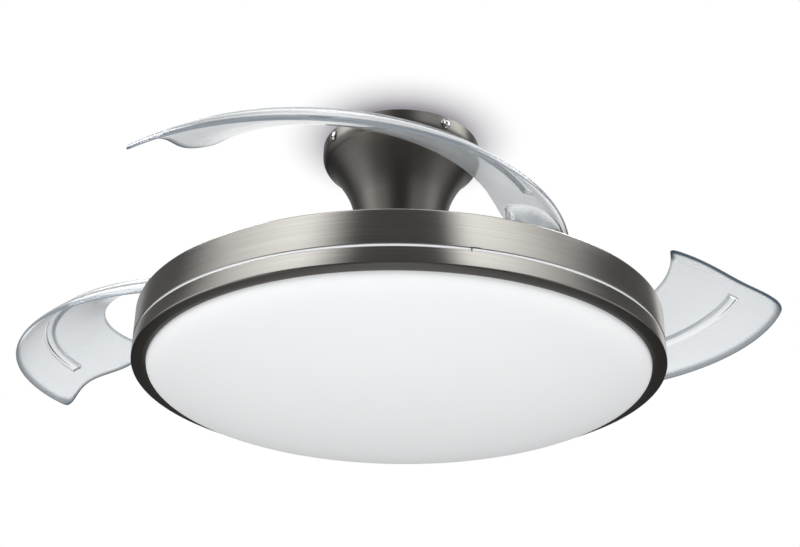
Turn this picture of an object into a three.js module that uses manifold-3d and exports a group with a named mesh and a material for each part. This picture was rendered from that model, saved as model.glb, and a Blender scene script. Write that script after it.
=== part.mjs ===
// Ceiling fan with a round lamp drum and three clear blades that fold back over the drum.
//
// Millimetres, +Z up. The origin is the centre of the ceiling face of the mounting plate, so
// everything hangs below z = 0. The drum, the motor and the neck share the Z axis.
// A blade swings on an upright pivot that stands on the turning carrier. Its opening is counted
// from the place where its outer edge would run round the drum's own axis.

import * as THREE from 'three';
import { mergeVertices } from 'three/addons/utils/BufferGeometryUtils.js';
import Module from 'manifold-3d';

const wasm = await Module();
wasm.setup();

const TAU = 2 * Math.PI;
const rad = (degrees) => (degrees * Math.PI) / 180;

// ---------------------------------------------------------------- driving dimensions

// General clearances
const seatGap = 0.3; // between pieces that only rest on each other in a turned place
const slipGap = 0.2; // round a shaft in a fixed bore
const runGap = 0.3; // between the two rings of a bearing
const cutOver = 1; // how far a cutter reaches past the face it opens
const screwCrown = 0.7; // share of a screw head's radius that its flat top has

// Sides of round pieces, from the drum down to the small screws
const drumSides = 40;
const bellSides = 26;
const motorSides = 24;
const shaftSides = 20;
const holeSides = 8;
const wideHoleSides = 12;
const smallHoleSides = 8;
const cornerSteps = 3;
const arcSteps = 5;
const boreSteps = 16;

// Mounting plate and hanger
const plateRadius = 70;
const plateThick = 2.5;
const earWidth = 14;
const earThick = 2;
const earDrop = 13.5;
const earPlay = 2.2;
const earRoot = 8;
const wireHoleRadius = 11;
const wireHoleReach = 36;
const anchorSlotLength = 16;
const anchorSlotWidth = 6;
const anchorReach = 52;
const cupFlangeRadius = 27;
const cupFlangeThick = 2.5;
const cupWall = 5;
const cupDrop = 22;
const pinRadius = 2.5;
const pinLength = 44;
const pinDrop = 14;

// Hollow hanger shaft
const shaftRadius = 11;
const shaftBore = 7.5;
const shaftTopGap = 1.5;
const shaftTail = 2;
const wireWindowHeight = 22;
const wireWindowWidth = 8;
const wireWindowDrop = 48;

// Canopy: a short band that turns in at its foot, a crease, and a flare down to the neck
const canopyRadius = 83;
const canopyWall = 1.6;
const canopyTopGap = 0.6;
const bandStraight = 11;
const bandTurnDraw = 1.1;
const bandTurnDrop = 16;
const bandFootDraw = 4.6;
const bandHeight = 20.2;
const creaseDepth = 0.7;
const creaseHeight = 0.4;
const bellSteps = 4;
const shoulderDrop = 30;
const shoulderDraw = 13.5;
const flareMidRadius = 59;
const flareMidDrop = 47;
const neckTopRadius = 51.2;
const neckTopDrop = 66;
const neckRadius = 43;
const neckStraightDrop = 100;
const neckEndDrop = 136;
const canopyScrewDrop = 9;
const canopyScrewCount = 4;
const canopyScrewStartAngle = -147.5;
const canopyScrewHead = 4.6;
const canopyScrewDome = 2.4;
const canopyScrewShank = 2;
const canopyScrewLength = 9;

// Electrics in the canopy
const receiverScrewGap = 4;
const receiverWidth = 26;
const receiverHeight = 19;
const receiverCorner = 3;
const receiverReach = 43;
const terminalLength = 36;
const terminalWidth = 17;
const terminalHeight = 15;
const terminalReach = 50;
const terminalAngle = -45;
const terminalWays = 3;
const terminalHole = 2.2;
const terminalHoleDrop = 9;

// Lamp drum
const drumRadius = 257;
const drumWall = 1.6;
const drumEdge = 1.2;
const panTopDrop = 212.2;
const upperBandHeight = 31.8;
const seamHeight = 2.4;
const lowerBandHeight = 15.6;
const panSheet = 1.2;
const seamRecess = 1.4;
const seamWidth = 2.8;
const seamLip = 4;

// Twist lock between the drum and the light cover
const coverFaceWidth = 14;
const coverSheet = 1.6;
const coverEdge = 1;
const coverLipWidth = 4;
const coverLipRise = 0.8;
const coverSkirtWall = 1.8;
const coverSkirtGap = 1.2;
const lockPlay = 1.2;
const coverSkirtRise = 6.4;
const lugCount = 3;
const lugDepth = 5.2;
const lugThick = 2;
const lugAngle = 13;
const lugTwistAngle = 20;
const notchAngle = 16;
const lockFlangeThick = 1.7;
const lockWall = 1.6;
const lockFlangeWidth = 8.4;

// Opal diffuser
const diffuserGap = 0.4;
const diffuserSag = 36;
const diffuserWall = 2.2;
const diffuserRim = 5;
const diffuserRimThick = 2.4;
const diffuserSteps = 5;

// Light source
const boardEdgeGap = 10.4;
const boardThick = 1.6;
const boardHole = 34;
const lensThick = 3;
const lensWidth = 12;
const lensDraw = 2;
const innerLensRadius = 105;
const outerLensRadius = 185;
const driverLength = 86;
const driverWidth = 46;
const driverHeight = 20;
const driverCorner = 3;
const driverReach = 62;

// Drum suspension
const collarRadius = 22;
const collarHeight = 6.2;
const collarNeck = 2.8;
const collarNeckRise = 2.9;
const nutAcross = 30;
const nutHeight = 6;

// Motor
const rotorRadius = 80;
const rotorWall = 2.2;
const rotorTopDrop = 142;
const rotorSplitDrop = 174;
const rotorEdge = 5;
const rotorInnerEdge = 3;
const rotorShaftGap = 1;
const carrierGap = 4.2;
const carrierThick = 3;
const bearingInnerWall = 3;
const bearingOuterWall = 4.7;
const bearingHeight = 8.5;
const bearingSeatWall = 3;
const bearingLip = 3;
const statorPoles = 12;
const statorHub = 26;
const statorRadius = 71;
const statorHeight = 22;
const statorShoe = 5;
const statorTip = 1.5;
const toothWidth = 9;
const poleAngle = 24;
const coilInner = 32;
const coilOuter = 61;
const coilHeight = 8;
const coilEdge = 2.5;
const magnetGap = 1;
const magnetOver = 2;

// Blade carrier
const carrierHub = 90;
const carrierBore = 30;
const armWidth = 56;
const armEnd = 33;
const armWindowLength = 46;
const armWindowWidth = 22;
const carrierScrewReach = 66;
const carrierScrewHead = 4;
const carrierScrewHeadThick = 2;
const carrierScrewShank = 2;
const carrierScrewLength = 8;

// Blades: places, openings and stops
const pivotReach = 198;
const firstPivotAngle = -53.4;
const bladeAngles = [43, 44, 83]; // as photographed: near, right and left blade
const closedAngle = 7;
const openAngle = 107;

// Blade sheet
const bladeOuterRadius = 229;
const bladeRootInner = 164;
const bladeTipInner = 125;
const bladeSpanAngle = 118;
const bladeTipLeanAngle = 3.5;
const bladeTailAngle = 12;
const bladeThick = 3;
const bladeEdgeThick = 4.6;
const bladeEdgeShare = 0.08; // of the way across, over which the outer edge thickens
const bladeEdgeDrop = 191;
const bladeRootRise = 41;
const bladeTipRise = 63;
const bladeCamber = 8;
const endWave = 8;
const endHollow = 3;
const ribPlace = 0.36;
const ribHalfWidth = 5;
const ribHeight = 2.6;
const ribStart = 0.12;
const ribEnd = 0.9;
const rootRadius = 32;

// Blade root pocket
const riserRadius = 25;
const riserWall = 2.4;
const riserFootGap = 1.5;
const padThick = 3;
const padClear = 11;

// Pivot
const postRadius = 5;
const postFlange = 9;
const postFlangeThick = 2;
const postHead = 7;
const postEdge = 1;
const hubPlateRadius = 20;
const hubPlateThick = 2;
const hubBossWall = 2;
const hubBossDrop = 3.5;
const pivotPlay = 0.3;
const pivotNutAcross = 18;
const pivotNutHeight = 4;
const stopReach = 15;
const stopRadius = 2.5;
const stopPlay = 0.6;
const stopHead = 3;
const stopAngle = -32;
const hubScrewReach = 15.2;
const hubScrewSpreadAngle = 50;
const hubScrewHead = 3;
const hubScrewHeadThick = 1.6;
const hubScrewShank = 1.6;
const hubScrewLength = 4.4;

// Return springs
const springWire = 1.6;
const springRadius = 10.8;
const springCurls = 3;
const springPitch = 2.1;
const springEnd = 1.7;
const springSteps = 8;
const springSides = 5;
const springFine = 4;

// ---------------------------------------------------------------- heights that follow

const canopyBottom = -neckEndDrop;
const seamTop = -panTopDrop - upperBandHeight;
const seamBottom = seamTop - seamHeight;
const coverFace = seamBottom - lowerBandHeight;
const panUnder = -panTopDrop - panSheet;
const carrierBottom = -panTopDrop + carrierGap;
const carrierTop = carrierBottom + carrierThick;
const padBottom = carrierTop + padClear;
const padTop = padBottom + padThick;
const hubPlateTop = padTop + hubPlateThick;
const bearingBore = shaftRadius + slipGap;
const bearingSplit = bearingBore + bearingInnerWall;
const bearingOuter = bearingSplit + runGap + bearingOuterWall;
const magnetInner = statorRadius + magnetGap;
const rotorInner = rotorRadius - rotorWall;
const coverSkirtOuter = drumRadius - drumWall - seamWidth - coverSkirtGap;
const coverSkirtInner = coverSkirtOuter - coverSkirtWall;
const coverOpening = drumRadius - coverFaceWidth;
const lugFloor = seamTop + lockFlangeThick + seatGap;
const lockReach = coverSkirtInner - lockPlay;
const lockWallRadius = lockReach - lockFlangeWidth;
const boardRadius = lockWallRadius - lockWall - boardEdgeGap;
const coverRest = coverFace + coverSheet;
const lowerBearingBottom = carrierTop + rotorWall;
const upperBearingTop = -rotorTopDrop - rotorWall;
const pivotAngles = bladeAngles.map((_, i) => firstPivotAngle + (i * 360) / bladeAngles.length);
const carrierScrewAngles = pivotAngles.map((angle) => angle + 180 / bladeAngles.length);
const statorMiddle = -(rotorTopDrop + panTopDrop - carrierGap - carrierThick) / 2;

// ---------------------------------------------------------------- materials

const looks = {
  nickel: { color: 0x9c978f, roughness: 0.35, metalness: 0.9 },
  darkNickel: { color: 0x5a5752, roughness: 0.4, metalness: 0.9 },
  steel: { color: 0xb4b6b8, roughness: 0.4, metalness: 0.9 },
  chrome: { color: 0xd6d8da, roughness: 0.15, metalness: 1 },
  opal: { color: 0xf1f3f4, roughness: 0.45, metalness: 0 },
  white: { color: 0xf4f4f2, roughness: 0.6, metalness: 0 },
  clear: { color: 0xcdd6dd, roughness: 0.1, metalness: 0 },
  black: { color: 0x26272a, roughness: 0.6, metalness: 0 },
  grey: { color: 0x777b80, roughness: 0.55, metalness: 0 },
  copper: { color: 0xb06a3a, roughness: 0.45, metalness: 0.7 },
  iron: { color: 0x55575c, roughness: 0.6, metalness: 0.6 },
  brass: { color: 0xb8964f, roughness: 0.35, metalness: 0.9 },
};

// ---------------------------------------------------------------- shape helpers

// Merges a geometry's vertices, drops its flat triangles and turns its faces outwards.
function closed(geometry) {
  const bare = geometry.index ? geometry.toNonIndexed() : geometry;
  bare.deleteAttribute('normal');
  bare.deleteAttribute('uv');
  const merged = mergeVertices(bare, 1e-4);
  const position = merged.attributes.position;
  const a = new THREE.Vector3();
  const b = new THREE.Vector3();
  const c = new THREE.Vector3();
  const kept = [];
  let volume = 0;
  for (let i = 0; i < merged.index.count; i += 3) {
    const [p, q, r] = [0, 1, 2].map((corner) => merged.index.getX(i + corner));
    if (p === q || q === r || r === p) continue;
    kept.push([p, q, r]);
    a.fromBufferAttribute(position, p);
    b.fromBufferAttribute(position, q);
    c.fromBufferAttribute(position, r);
    volume += a.dot(b.cross(c));
  }
  const faces = volume < 0 ? kept.map(([p, q, r]) => [p, r, q]) : kept;
  merged.setIndex(faces.flat());
  return merged;
}

function toSolid(geometry) {
  const ready = closed(geometry);
  return new wasm.Manifold(
    new wasm.Mesh({
      numProp: 3,
      vertProperties: new Float32Array(ready.attributes.position.array),
      triVerts: new Uint32Array(ready.index.array),
    }),
  );
}

function fromSolid(solid) {
  const mesh = solid.getMesh();
  const geometry = new THREE.BufferGeometry();
  geometry.setAttribute('position', new THREE.BufferAttribute(mesh.vertProperties, mesh.numProp));
  geometry.setIndex(Array.from(mesh.triVerts));
  return geometry;
}

// A geometry from a list of points and the numbers of its triangles' corners.
function indexed(points, index) {
  const places = points.flatMap((point) => point.toArray());
  const geometry = new THREE.BufferGeometry();
  geometry.setAttribute('position', new THREE.Float32BufferAttribute(places, 3));
  geometry.setIndex(index);
  return geometry;
}

// Joins the first list of geometries and cuts the second list out of them.
function carve(joined, cutters = []) {
  let solid = toSolid(joined[0]);
  for (const piece of joined.slice(1)) solid = solid.add(toSolid(piece));
  for (const cutter of cutters) solid = solid.subtract(toSolid(cutter));
  return fromSolid(solid);
}

// A body of revolution about Z from [radius, z] points.
function turned(points, segments) {
  const profile = points.map(([radius, z]) => new THREE.Vector2(radius, z));
  return new THREE.LatheGeometry(profile, segments).rotateX(Math.PI / 2);
}

function disc(radius, bottom, top, segments = shaftSides) {
  return turned([[0, bottom], [radius, bottom], [radius, top], [0, top]], segments);
}

function ring(inner, outer, bottom, top, segments = shaftSides) {
  return turned(
    [[inner, bottom], [outer, bottom], [outer, top], [inner, top], [inner, bottom]],
    segments,
  );
}

function block(length, width, bottom, top) {
  return new THREE.BoxGeometry(length, width, top - bottom).translate(0, 0, (bottom + top) / 2);
}

function extruded(shape, bottom, top, curveSegments = arcSteps) {
  const depth = top - bottom;
  const options = { depth, bevelEnabled: false, curveSegments };
  return new THREE.ExtrudeGeometry(shape, options).translate(0, 0, bottom);
}

function roundedBlock(length, width, corner, bottom, top) {
  const x = length / 2;
  const y = width / 2;
  const shape = new THREE.Shape();
  shape.absarc(x - corner, y - corner, corner, 0, TAU / 4);
  shape.absarc(corner - x, y - corner, corner, TAU / 4, TAU / 2);
  shape.absarc(corner - x, corner - y, corner, TAU / 2, (3 * TAU) / 4);
  shape.absarc(x - corner, corner - y, corner, (3 * TAU) / 4, TAU);
  return extruded(shape, bottom, top, cornerSteps);
}

function slot(length, width, bottom, top) {
  const reach = (length - width) / 2;
  const shape = new THREE.Shape();
  shape.absarc(reach, 0, width / 2, -TAU / 4, TAU / 4);
  shape.absarc(-reach, 0, width / 2, TAU / 4, (3 * TAU) / 4);
  return extruded(shape, bottom, top);
}

function hexagon(acrossFlats, bottom, top) {
  const radius = acrossFlats / 2 / Math.cos(TAU / 12);
  return disc(radius, bottom, top, 6);
}

// A sector of a flat ring, from one angle to another in degrees.
function sector(inner, outer, from, to, bottom, top) {
  const shape = new THREE.Shape();
  shape.absarc(0, 0, outer, rad(from), rad(to));
  shape.absarc(0, 0, inner, rad(to), rad(from), true);
  return extruded(shape, bottom, top);
}

// A slot that follows an arc about Z and has round ends.
function arcSlot(radius, half, from, to, bottom, top) {
  const start = new THREE.Vector2(Math.cos(rad(from)), Math.sin(rad(from))).multiplyScalar(radius);
  const end = new THREE.Vector2(Math.cos(rad(to)), Math.sin(rad(to))).multiplyScalar(radius);
  const shape = new THREE.Shape();
  shape.absarc(0, 0, radius + half, rad(from), rad(to));
  shape.absarc(end.x, end.y, half, rad(to), rad(to) + Math.PI);
  shape.absarc(0, 0, radius - half, rad(to), rad(from), true);
  shape.absarc(start.x, start.y, half, rad(from) + Math.PI, rad(from) + TAU);
  return extruded(shape, bottom, top);
}

function at(geometry, x, y, z = 0) {
  return geometry.translate(x, y, z);
}

function turn(geometry, degrees) {
  return geometry.rotateZ(rad(degrees));
}

// A round headed screw along -Z, with its seat at z = 0 and its dome drawn in to a flat top.
function screw(head, dome, shank, length, segments = holeSides) {
  return turned(
    [[0, -length], [shank, -length], [shank, 0], [head, 0], [head * screwCrown, dome], [0, dome]],
    segments,
  );
}

function piece(name, look, geometry) {
  const mesh = new THREE.Mesh(closed(geometry), new THREE.MeshStandardMaterial(looks[look]));
  mesh.name = name;
  return mesh;
}

const fan = new THREE.Group();
const fixed = new THREE.Group();
const rotor = new THREE.Group();
const cover = new THREE.Group();
fan.add(fixed, rotor, cover);

// ---------------------------------------------------------------- mounting plate and hanger

const screwAngles = Array.from(
  { length: canopyScrewCount },
  (_, i) => canopyScrewStartAngle + (i * 360) / canopyScrewCount,
);
const canopyInner = canopyRadius - canopyWall;
const earOuter = canopyInner - earPlay;

function mountingPlate() {
  const solids = [disc(plateRadius, -plateThick, 0, bellSides)];
  const cutters = [
    at(disc(wireHoleRadius, -plateThick - cutOver, cutOver, wideHoleSides), 0, -wireHoleReach),
  ];
  for (const angle of screwAngles) {
    const armFrom = plateRadius - earRoot;
    const arm = at(
      block(earOuter - armFrom, earWidth, -plateThick, 0),
      (earOuter + armFrom) / 2,
      0,
    );
    const ear = at(
      block(earThick, earWidth, -earDrop, -plateThick / 2),
      earOuter - earThick / 2,
      0,
    );
    const hole = disc(canopyScrewShank + slipGap, -earThick, earThick, smallHoleSides)
      .rotateY(TAU / 4)
      .translate(earOuter - earThick / 2, 0, -canopyScrewDrop);
    solids.push(turn(arm, angle), turn(ear, angle));
    cutters.push(turn(hole, angle));
  }
  for (const side of [1, -1]) {
    const anchor = slot(anchorSlotLength, anchorSlotWidth, -plateThick - cutOver, cutOver);
    cutters.push(turn(at(anchor, 0, side * anchorReach), 90));
  }
  return carve(solids, cutters);
}

// The round pin through the cup and the shaft lies along X.
function crossPin(radius) {
  return disc(radius, -pinLength / 2, pinLength / 2, holeSides)
    .rotateY(TAU / 4)
    .translate(0, 0, -pinDrop);
}

function hangerCup() {
  const bore = shaftRadius + slipGap;
  const top = -plateThick;
  const outline = turned(
    [
      [bore, top - cupDrop],
      [bore + cupWall, top - cupDrop],
      [bore + cupWall, top - cupFlangeThick],
      [cupFlangeRadius, top - cupFlangeThick],
      [cupFlangeRadius, top],
      [bore, top],
      [bore, top - cupDrop],
    ],
    shaftSides,
  );
  return carve([outline], [crossPin(pinRadius + slipGap)]);
}

function hangerShaft() {
  const bottom = panUnder - nutHeight - shaftTail;
  const tube = ring(shaftBore, shaftRadius, bottom, -plateThick - shaftTopGap);
  const window = at(
    block(wireWindowWidth, shaftRadius * 2, -wireWindowHeight / 2, wireWindowHeight / 2),
    0,
    shaftRadius,
    -wireWindowDrop,
  );
  return carve([tube], [crossPin(pinRadius + slipGap), window]);
}

fixed.add(
  piece('mounting_plate', 'steel', mountingPlate()),
  piece('hanger_cup', 'steel', hangerCup()),
  piece('hanger_shaft', 'steel', hangerShaft()),
  piece('clevis_pin', 'steel', crossPin(pinRadius)),
);

// ---------------------------------------------------------------- electrics in the canopy

function terminalBlock() {
  const body = block(terminalLength, terminalWidth, -plateThick - terminalHeight, -plateThick);
  const pitch = terminalLength / terminalWays;
  const holes = Array.from({ length: terminalWays }, (_, i) =>
    disc(terminalHole, -terminalWidth, terminalWidth, holeSides)
      .rotateX(TAU / 4)
      .translate((i - (terminalWays - 1) / 2) * pitch, 0, -plateThick - terminalHoleDrop),
  );
  return turn(at(carve([body], holes).rotateZ(TAU / 4), terminalReach, 0), terminalAngle);
}

// The receiver's far corners stop short of the circle that the canopy screws' tips lie on.
const receiverLength =
  2 *
  Math.sqrt(
    (canopyRadius - canopyScrewLength - receiverScrewGap) ** 2 -
      (receiverReach + receiverWidth / 2) ** 2,
  );

fixed.add(
  piece(
    'receiver',
    'white',
    at(
      roundedBlock(
        receiverLength,
        receiverWidth,
        receiverCorner,
        -plateThick - receiverHeight,
        -plateThick,
      ),
      0,
      receiverReach,
    ),
  ),
  piece('terminal_block', 'grey', terminalBlock()),
);

// ---------------------------------------------------------------- canopy and its screws

// Outer line of the bell from the band's foot to the end of the neck, as [radius, z].
function bellLine() {
  const curve = new THREE.SplineCurve([
    new THREE.Vector2(canopyRadius - bandFootDraw - creaseDepth, -bandHeight - creaseHeight),
    new THREE.Vector2(canopyRadius - shoulderDraw, -shoulderDrop),
    new THREE.Vector2(flareMidRadius, -flareMidDrop),
    new THREE.Vector2(neckTopRadius, -neckTopDrop),
    new THREE.Vector2(neckRadius, -neckStraightDrop),
  ]);
  return curve.getPoints(bellSteps).map((point) => [point.x, point.y]);
}

function canopy() {
  const bell = bellLine();
  const outer = [
    [canopyRadius, -canopyTopGap],
    [canopyRadius, -bandStraight],
    [canopyRadius - bandTurnDraw, -bandTurnDrop],
    [canopyRadius - bandFootDraw, -bandHeight],
    ...bell,
    [neckRadius, canopyBottom],
  ];
  const inner = outer.map(([radius, z]) => [radius - canopyWall, z]).reverse();
  const shell = turned([...outer, ...inner, outer[0]], bellSides);
  const holes = screwAngles.map((angle) =>
    turn(
      disc(canopyScrewShank + 2 * slipGap, -canopyScrewLength, canopyScrewLength, smallHoleSides)
        .rotateY(TAU / 4)
        .translate(canopyRadius, 0, -canopyScrewDrop),
      angle,
    ),
  );
  return carve([shell], holes);
}

fixed.add(piece('canopy', 'darkNickel', canopy()));
screwAngles.forEach((angle, i) => {
  const holder = new THREE.Group();
  holder.rotation.z = rad(angle);
  const mesh = piece(
    `canopy_screw_${i + 1}`,
    'chrome',
    screw(canopyScrewHead, canopyScrewDome, canopyScrewShank, canopyScrewLength),
  );
  mesh.rotation.y = TAU / 4;
  mesh.position.set(canopyRadius + seatGap, 0, -canopyScrewDrop);
  holder.add(mesh);
  fixed.add(holder);
});

// ---------------------------------------------------------------- motor

function statorCore() {
  const pitch = TAU / statorPoles;
  const shape = new THREE.Shape();
  const shoeFoot = statorRadius - statorShoe;
  const shoeHalf = rad(poleAngle / 2);
  for (let i = 0; i < statorPoles; i += 1) {
    const middle = i * pitch;
    const rootHalf = Math.asin(toothWidth / 2 / statorHub);
    const neckHalf = Math.asin(toothWidth / 2 / shoeFoot);
    const line = [
      [statorHub, -rootHalf],
      [shoeFoot, -neckHalf],
      [statorRadius - statorTip, -shoeHalf],
      [statorRadius, -shoeHalf],
      [statorRadius, 0],
      [statorRadius, shoeHalf],
      [statorRadius - statorTip, shoeHalf],
      [shoeFoot, neckHalf],
      [statorHub, rootHalf],
    ];
    line.forEach(([radius, offset], k) => {
      const x = radius * Math.cos(middle + offset);
      const y = radius * Math.sin(middle + offset);
      if (i === 0 && k === 0) shape.moveTo(x, y);
      else shape.lineTo(x, y);
    });
  }
  const bore = new THREE.Path().absarc(0, 0, shaftRadius + slipGap, 0, TAU, true);
  shape.holes.push(bore);
  return extruded(shape, statorMiddle - statorHeight / 2, statorMiddle + statorHeight / 2, boreSteps);
}

// End turns of the windings, which stand on one face of the core.
function coilRing(foot, height) {
  const bevel = Math.sign(height) * coilEdge;
  return turned(
    [
      [coilInner, foot],
      [coilOuter, foot],
      [coilOuter, foot + height - bevel],
      [coilOuter - coilEdge, foot + height],
      [coilInner + coilEdge, foot + height],
      [coilInner, foot + height - bevel],
      [coilInner, foot],
    ],
    shaftSides,
  );
}

function rotorUpper() {
  const top = -rotorTopDrop;
  const seat = bearingOuter + slipGap;
  return turned(
    [
      [bearingSplit + rotorShaftGap, top],
      [rotorRadius - rotorEdge, top],
      [rotorRadius, top - rotorEdge],
      [rotorRadius, -rotorSplitDrop],
      [rotorInner, -rotorSplitDrop],
      [rotorInner, top - rotorEdge],
      [rotorInner - rotorInnerEdge, top - rotorWall],
      [seat + bearingSeatWall, top - rotorWall],
      [seat + bearingSeatWall, top - rotorWall - bearingHeight],
      [seat, top - rotorWall - bearingHeight],
      [seat, top - rotorWall],
      [bearingSplit + rotorShaftGap, top - rotorWall],
      [bearingSplit + rotorShaftGap, top],
    ],
    motorSides,
  );
}

function rotorLower() {
  const bottom = carrierTop;
  const seat = bearingOuter + slipGap;
  const bell = turned(
    [
      [bearingOuter - bearingLip, bottom],
      [rotorRadius, bottom],
      [rotorRadius, -rotorSplitDrop],
      [rotorInner, -rotorSplitDrop],
      [rotorInner, bottom + rotorWall],
      [seat + bearingSeatWall, bottom + rotorWall],
      [seat + bearingSeatWall, bottom + rotorWall + bearingHeight],
      [seat, bottom + rotorWall + bearingHeight],
      [seat, bottom + rotorWall],
      [bearingOuter - bearingLip, bottom + rotorWall],
      [bearingOuter - bearingLip, bottom],
    ],
    motorSides,
  );
  const holes = carrierScrewAngles.map((angle) => {
    const hole = disc(
      carrierScrewShank + slipGap,
      bottom - cutOver,
      bottom + rotorWall + cutOver,
      smallHoleSides,
    );
    return turn(at(hole, carrierScrewReach, 0), angle);
  });
  return carve([bell], holes);
}

function magnetRing() {
  const half = statorHeight / 2 + magnetOver;
  return ring(
    magnetInner,
    rotorInner - slipGap,
    statorMiddle - half,
    statorMiddle + half,
    motorSides,
  );
}

function innerRing(bottom) {
  return ring(bearingBore, bearingSplit, bottom, bottom + bearingHeight);
}

function outerRing(bottom) {
  return ring(bearingSplit + runGap, bearingOuter, bottom, bottom + bearingHeight);
}

fixed.add(
  piece('stator_core', 'iron', statorCore()),
  piece('coil_ring_upper', 'copper', coilRing(statorMiddle + statorHeight / 2, coilHeight)),
  piece('coil_ring_lower', 'copper', coilRing(statorMiddle - statorHeight / 2, -coilHeight)),
  piece('bearing_inner_upper', 'steel', innerRing(upperBearingTop - bearingHeight)),
  piece('bearing_inner_lower', 'steel', innerRing(lowerBearingBottom)),
);

rotor.add(
  piece('rotor_upper', 'darkNickel', rotorUpper()),
  piece('rotor_lower', 'darkNickel', rotorLower()),
  piece('magnet_ring', 'iron', magnetRing()),
  piece('bearing_outer_upper', 'steel', outerRing(upperBearingTop - bearingHeight)),
  piece('bearing_outer_lower', 'steel', outerRing(lowerBearingBottom)),
);

// ---------------------------------------------------------------- blade carrier

function bladeCarrier() {
  const solids = [disc(carrierHub, carrierBottom, carrierTop, motorSides)];
  const cutters = [disc(carrierBore, carrierBottom - cutOver, carrierTop + cutOver)];
  for (const angle of pivotAngles) {
    const arm = at(block(pivotReach, armWidth, carrierBottom, carrierTop), pivotReach / 2, 0);
    const end = at(disc(armEnd, carrierBottom, carrierTop), pivotReach, 0);
    const window = at(
      slot(armWindowLength, armWindowWidth, carrierBottom - cutOver, carrierTop + cutOver),
      (carrierHub + pivotReach - armEnd) / 2,
      0,
    );
    solids.push(turn(arm, angle), turn(end, angle));
    cutters.push(turn(window, angle));
  }
  for (const angle of carrierScrewAngles) {
    const hole = disc(
      carrierScrewShank + slipGap,
      carrierBottom - cutOver,
      carrierTop + cutOver,
      smallHoleSides,
    );
    cutters.push(turn(at(hole, carrierScrewReach, 0), angle));
  }
  return carve(solids, cutters);
}

rotor.add(piece('blade_carrier', 'darkNickel', bladeCarrier()));
carrierScrewAngles.forEach((angle, i) => {
  const x = carrierScrewReach * Math.cos(rad(angle));
  const y = carrierScrewReach * Math.sin(rad(angle));
  const mesh = piece(
    `carrier_screw_${i + 1}`,
    'steel',
    screw(carrierScrewHead, carrierScrewHeadThick, carrierScrewShank, carrierScrewLength),
  );
  mesh.rotation.x = Math.PI;
  mesh.position.set(x, y, carrierBottom);
  rotor.add(mesh);
});

// ---------------------------------------------------------------- blades

// Blade frame: the origin is on the pivot, +X points away from the drum's axis when the opening
// is zero, and the blade runs round that axis towards -Y. "across" is 0 on the outer edge and 1
// on the inner edge, and "along" is an angle from the pivot in degrees.
function bladeInner(along) {
  return THREE.MathUtils.lerp(bladeRootInner, bladeTipInner, along / bladeSpanAngle);
}

// Hollow of the section, with its peak a quarter of the way across.
function camber(across) {
  const peak = 0.25 * 0.75 ** 3;
  return (bladeCamber * across * (1 - across) ** 3) / peak;
}

function bladeEnd(across) {
  const radius = THREE.MathUtils.lerp(bladeOuterRadius, bladeTipInner, across);
  const wave = -endWave * Math.sin(TAU * across) - endHollow * Math.sin(Math.PI * across);
  return bladeSpanAngle + bladeTipLeanAngle * across + THREE.MathUtils.radToDeg(wave / radius);
}

function bladePoint(along, across) {
  const inner = bladeInner(along);
  const radius = THREE.MathUtils.lerp(bladeOuterRadius, inner, across);
  const rise = THREE.MathUtils.lerp(bladeRootRise, bladeTipRise, along / bladeSpanAngle);
  return new THREE.Vector3(
    radius * Math.cos(rad(along)) - pivotReach,
    -radius * Math.sin(rad(along)),
    -bladeEdgeDrop + rise * across + camber(across),
  );
}

const bladeChord = bladeOuterRadius - (bladeRootInner + bladeTipInner) / 2;
const ribHalf = ribHalfWidth / bladeChord;
const acrossSteps = [
  0,
  bladeEdgeShare,
  0.2,
  ribPlace - 1.5 * ribHalf,
  ribPlace - 0.7 * ribHalf,
  ribPlace + 0.7 * ribHalf,
  ribPlace + 1.5 * ribHalf,
  0.65,
  1,
];
const alongSteps = 16;

function ribLift(along, across) {
  const place = along / bladeSpanAngle;
  if (place < ribStart || place > ribEnd) return 0;
  return Math.abs(across - ribPlace) < ribHalf ? ribHeight : 0;
}

// Skin of a field of points: an upper and a lower face joined round the border.
function fieldSolid(upper, lower) {
  const rows = upper.length;
  const columns = upper[0].length;
  const points = [...upper.flat(), ...lower.flat()];
  const index = [];
  const top = (i, j) => i * columns + j;
  const bottom = (i, j) => rows * columns + i * columns + j;
  const quad = (a, b, c, d) => index.push(a, b, c, a, c, d);
  for (let i = 0; i < rows - 1; i += 1) {
    for (let j = 0; j < columns - 1; j += 1) {
      quad(top(i, j), top(i + 1, j), top(i + 1, j + 1), top(i, j + 1));
      quad(bottom(i, j), bottom(i, j + 1), bottom(i + 1, j + 1), bottom(i + 1, j));
    }
  }
  for (let i = 0; i < rows - 1; i += 1) {
    quad(top(i, 0), bottom(i, 0), bottom(i + 1, 0), top(i + 1, 0));
    const last = columns - 1;
    quad(top(i + 1, last), bottom(i + 1, last), bottom(i, last), top(i, last));
  }
  for (let j = 0; j < columns - 1; j += 1) {
    quad(top(0, j + 1), bottom(0, j + 1), bottom(0, j), top(0, j));
    const low = bottom(rows - 1, j);
    quad(top(rows - 1, j), low, bottom(rows - 1, j + 1), top(rows - 1, j + 1));
  }
  return indexed(points, index);
}

function bladeField(finish) {
  return acrossSteps.map((across) =>
    Array.from({ length: alongSteps + 1 }, (_, j) => {
      const along = THREE.MathUtils.lerp(-bladeTailAngle, bladeEnd(across), j / alongSteps);
      return finish(bladePoint(along, across), along, across);
    }),
  );
}

function sheetHalf(across) {
  const edge = Math.max(0, 1 - across / bladeEdgeShare);
  return THREE.MathUtils.lerp(bladeThick, bladeEdgeThick, edge) / 2;
}

function bladeSheet() {
  const face = (side) =>
    bladeField((p, along, across) =>
      p.setZ(p.z + ribLift(along, across) + side * sheetHalf(across)),
    );
  return fieldSolid(face(1), face(-1));
}

function underBlade(floor) {
  return fieldSolid(
    bladeField((p) => p),
    bladeField((p) => p.setZ(floor)),
  );
}

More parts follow.
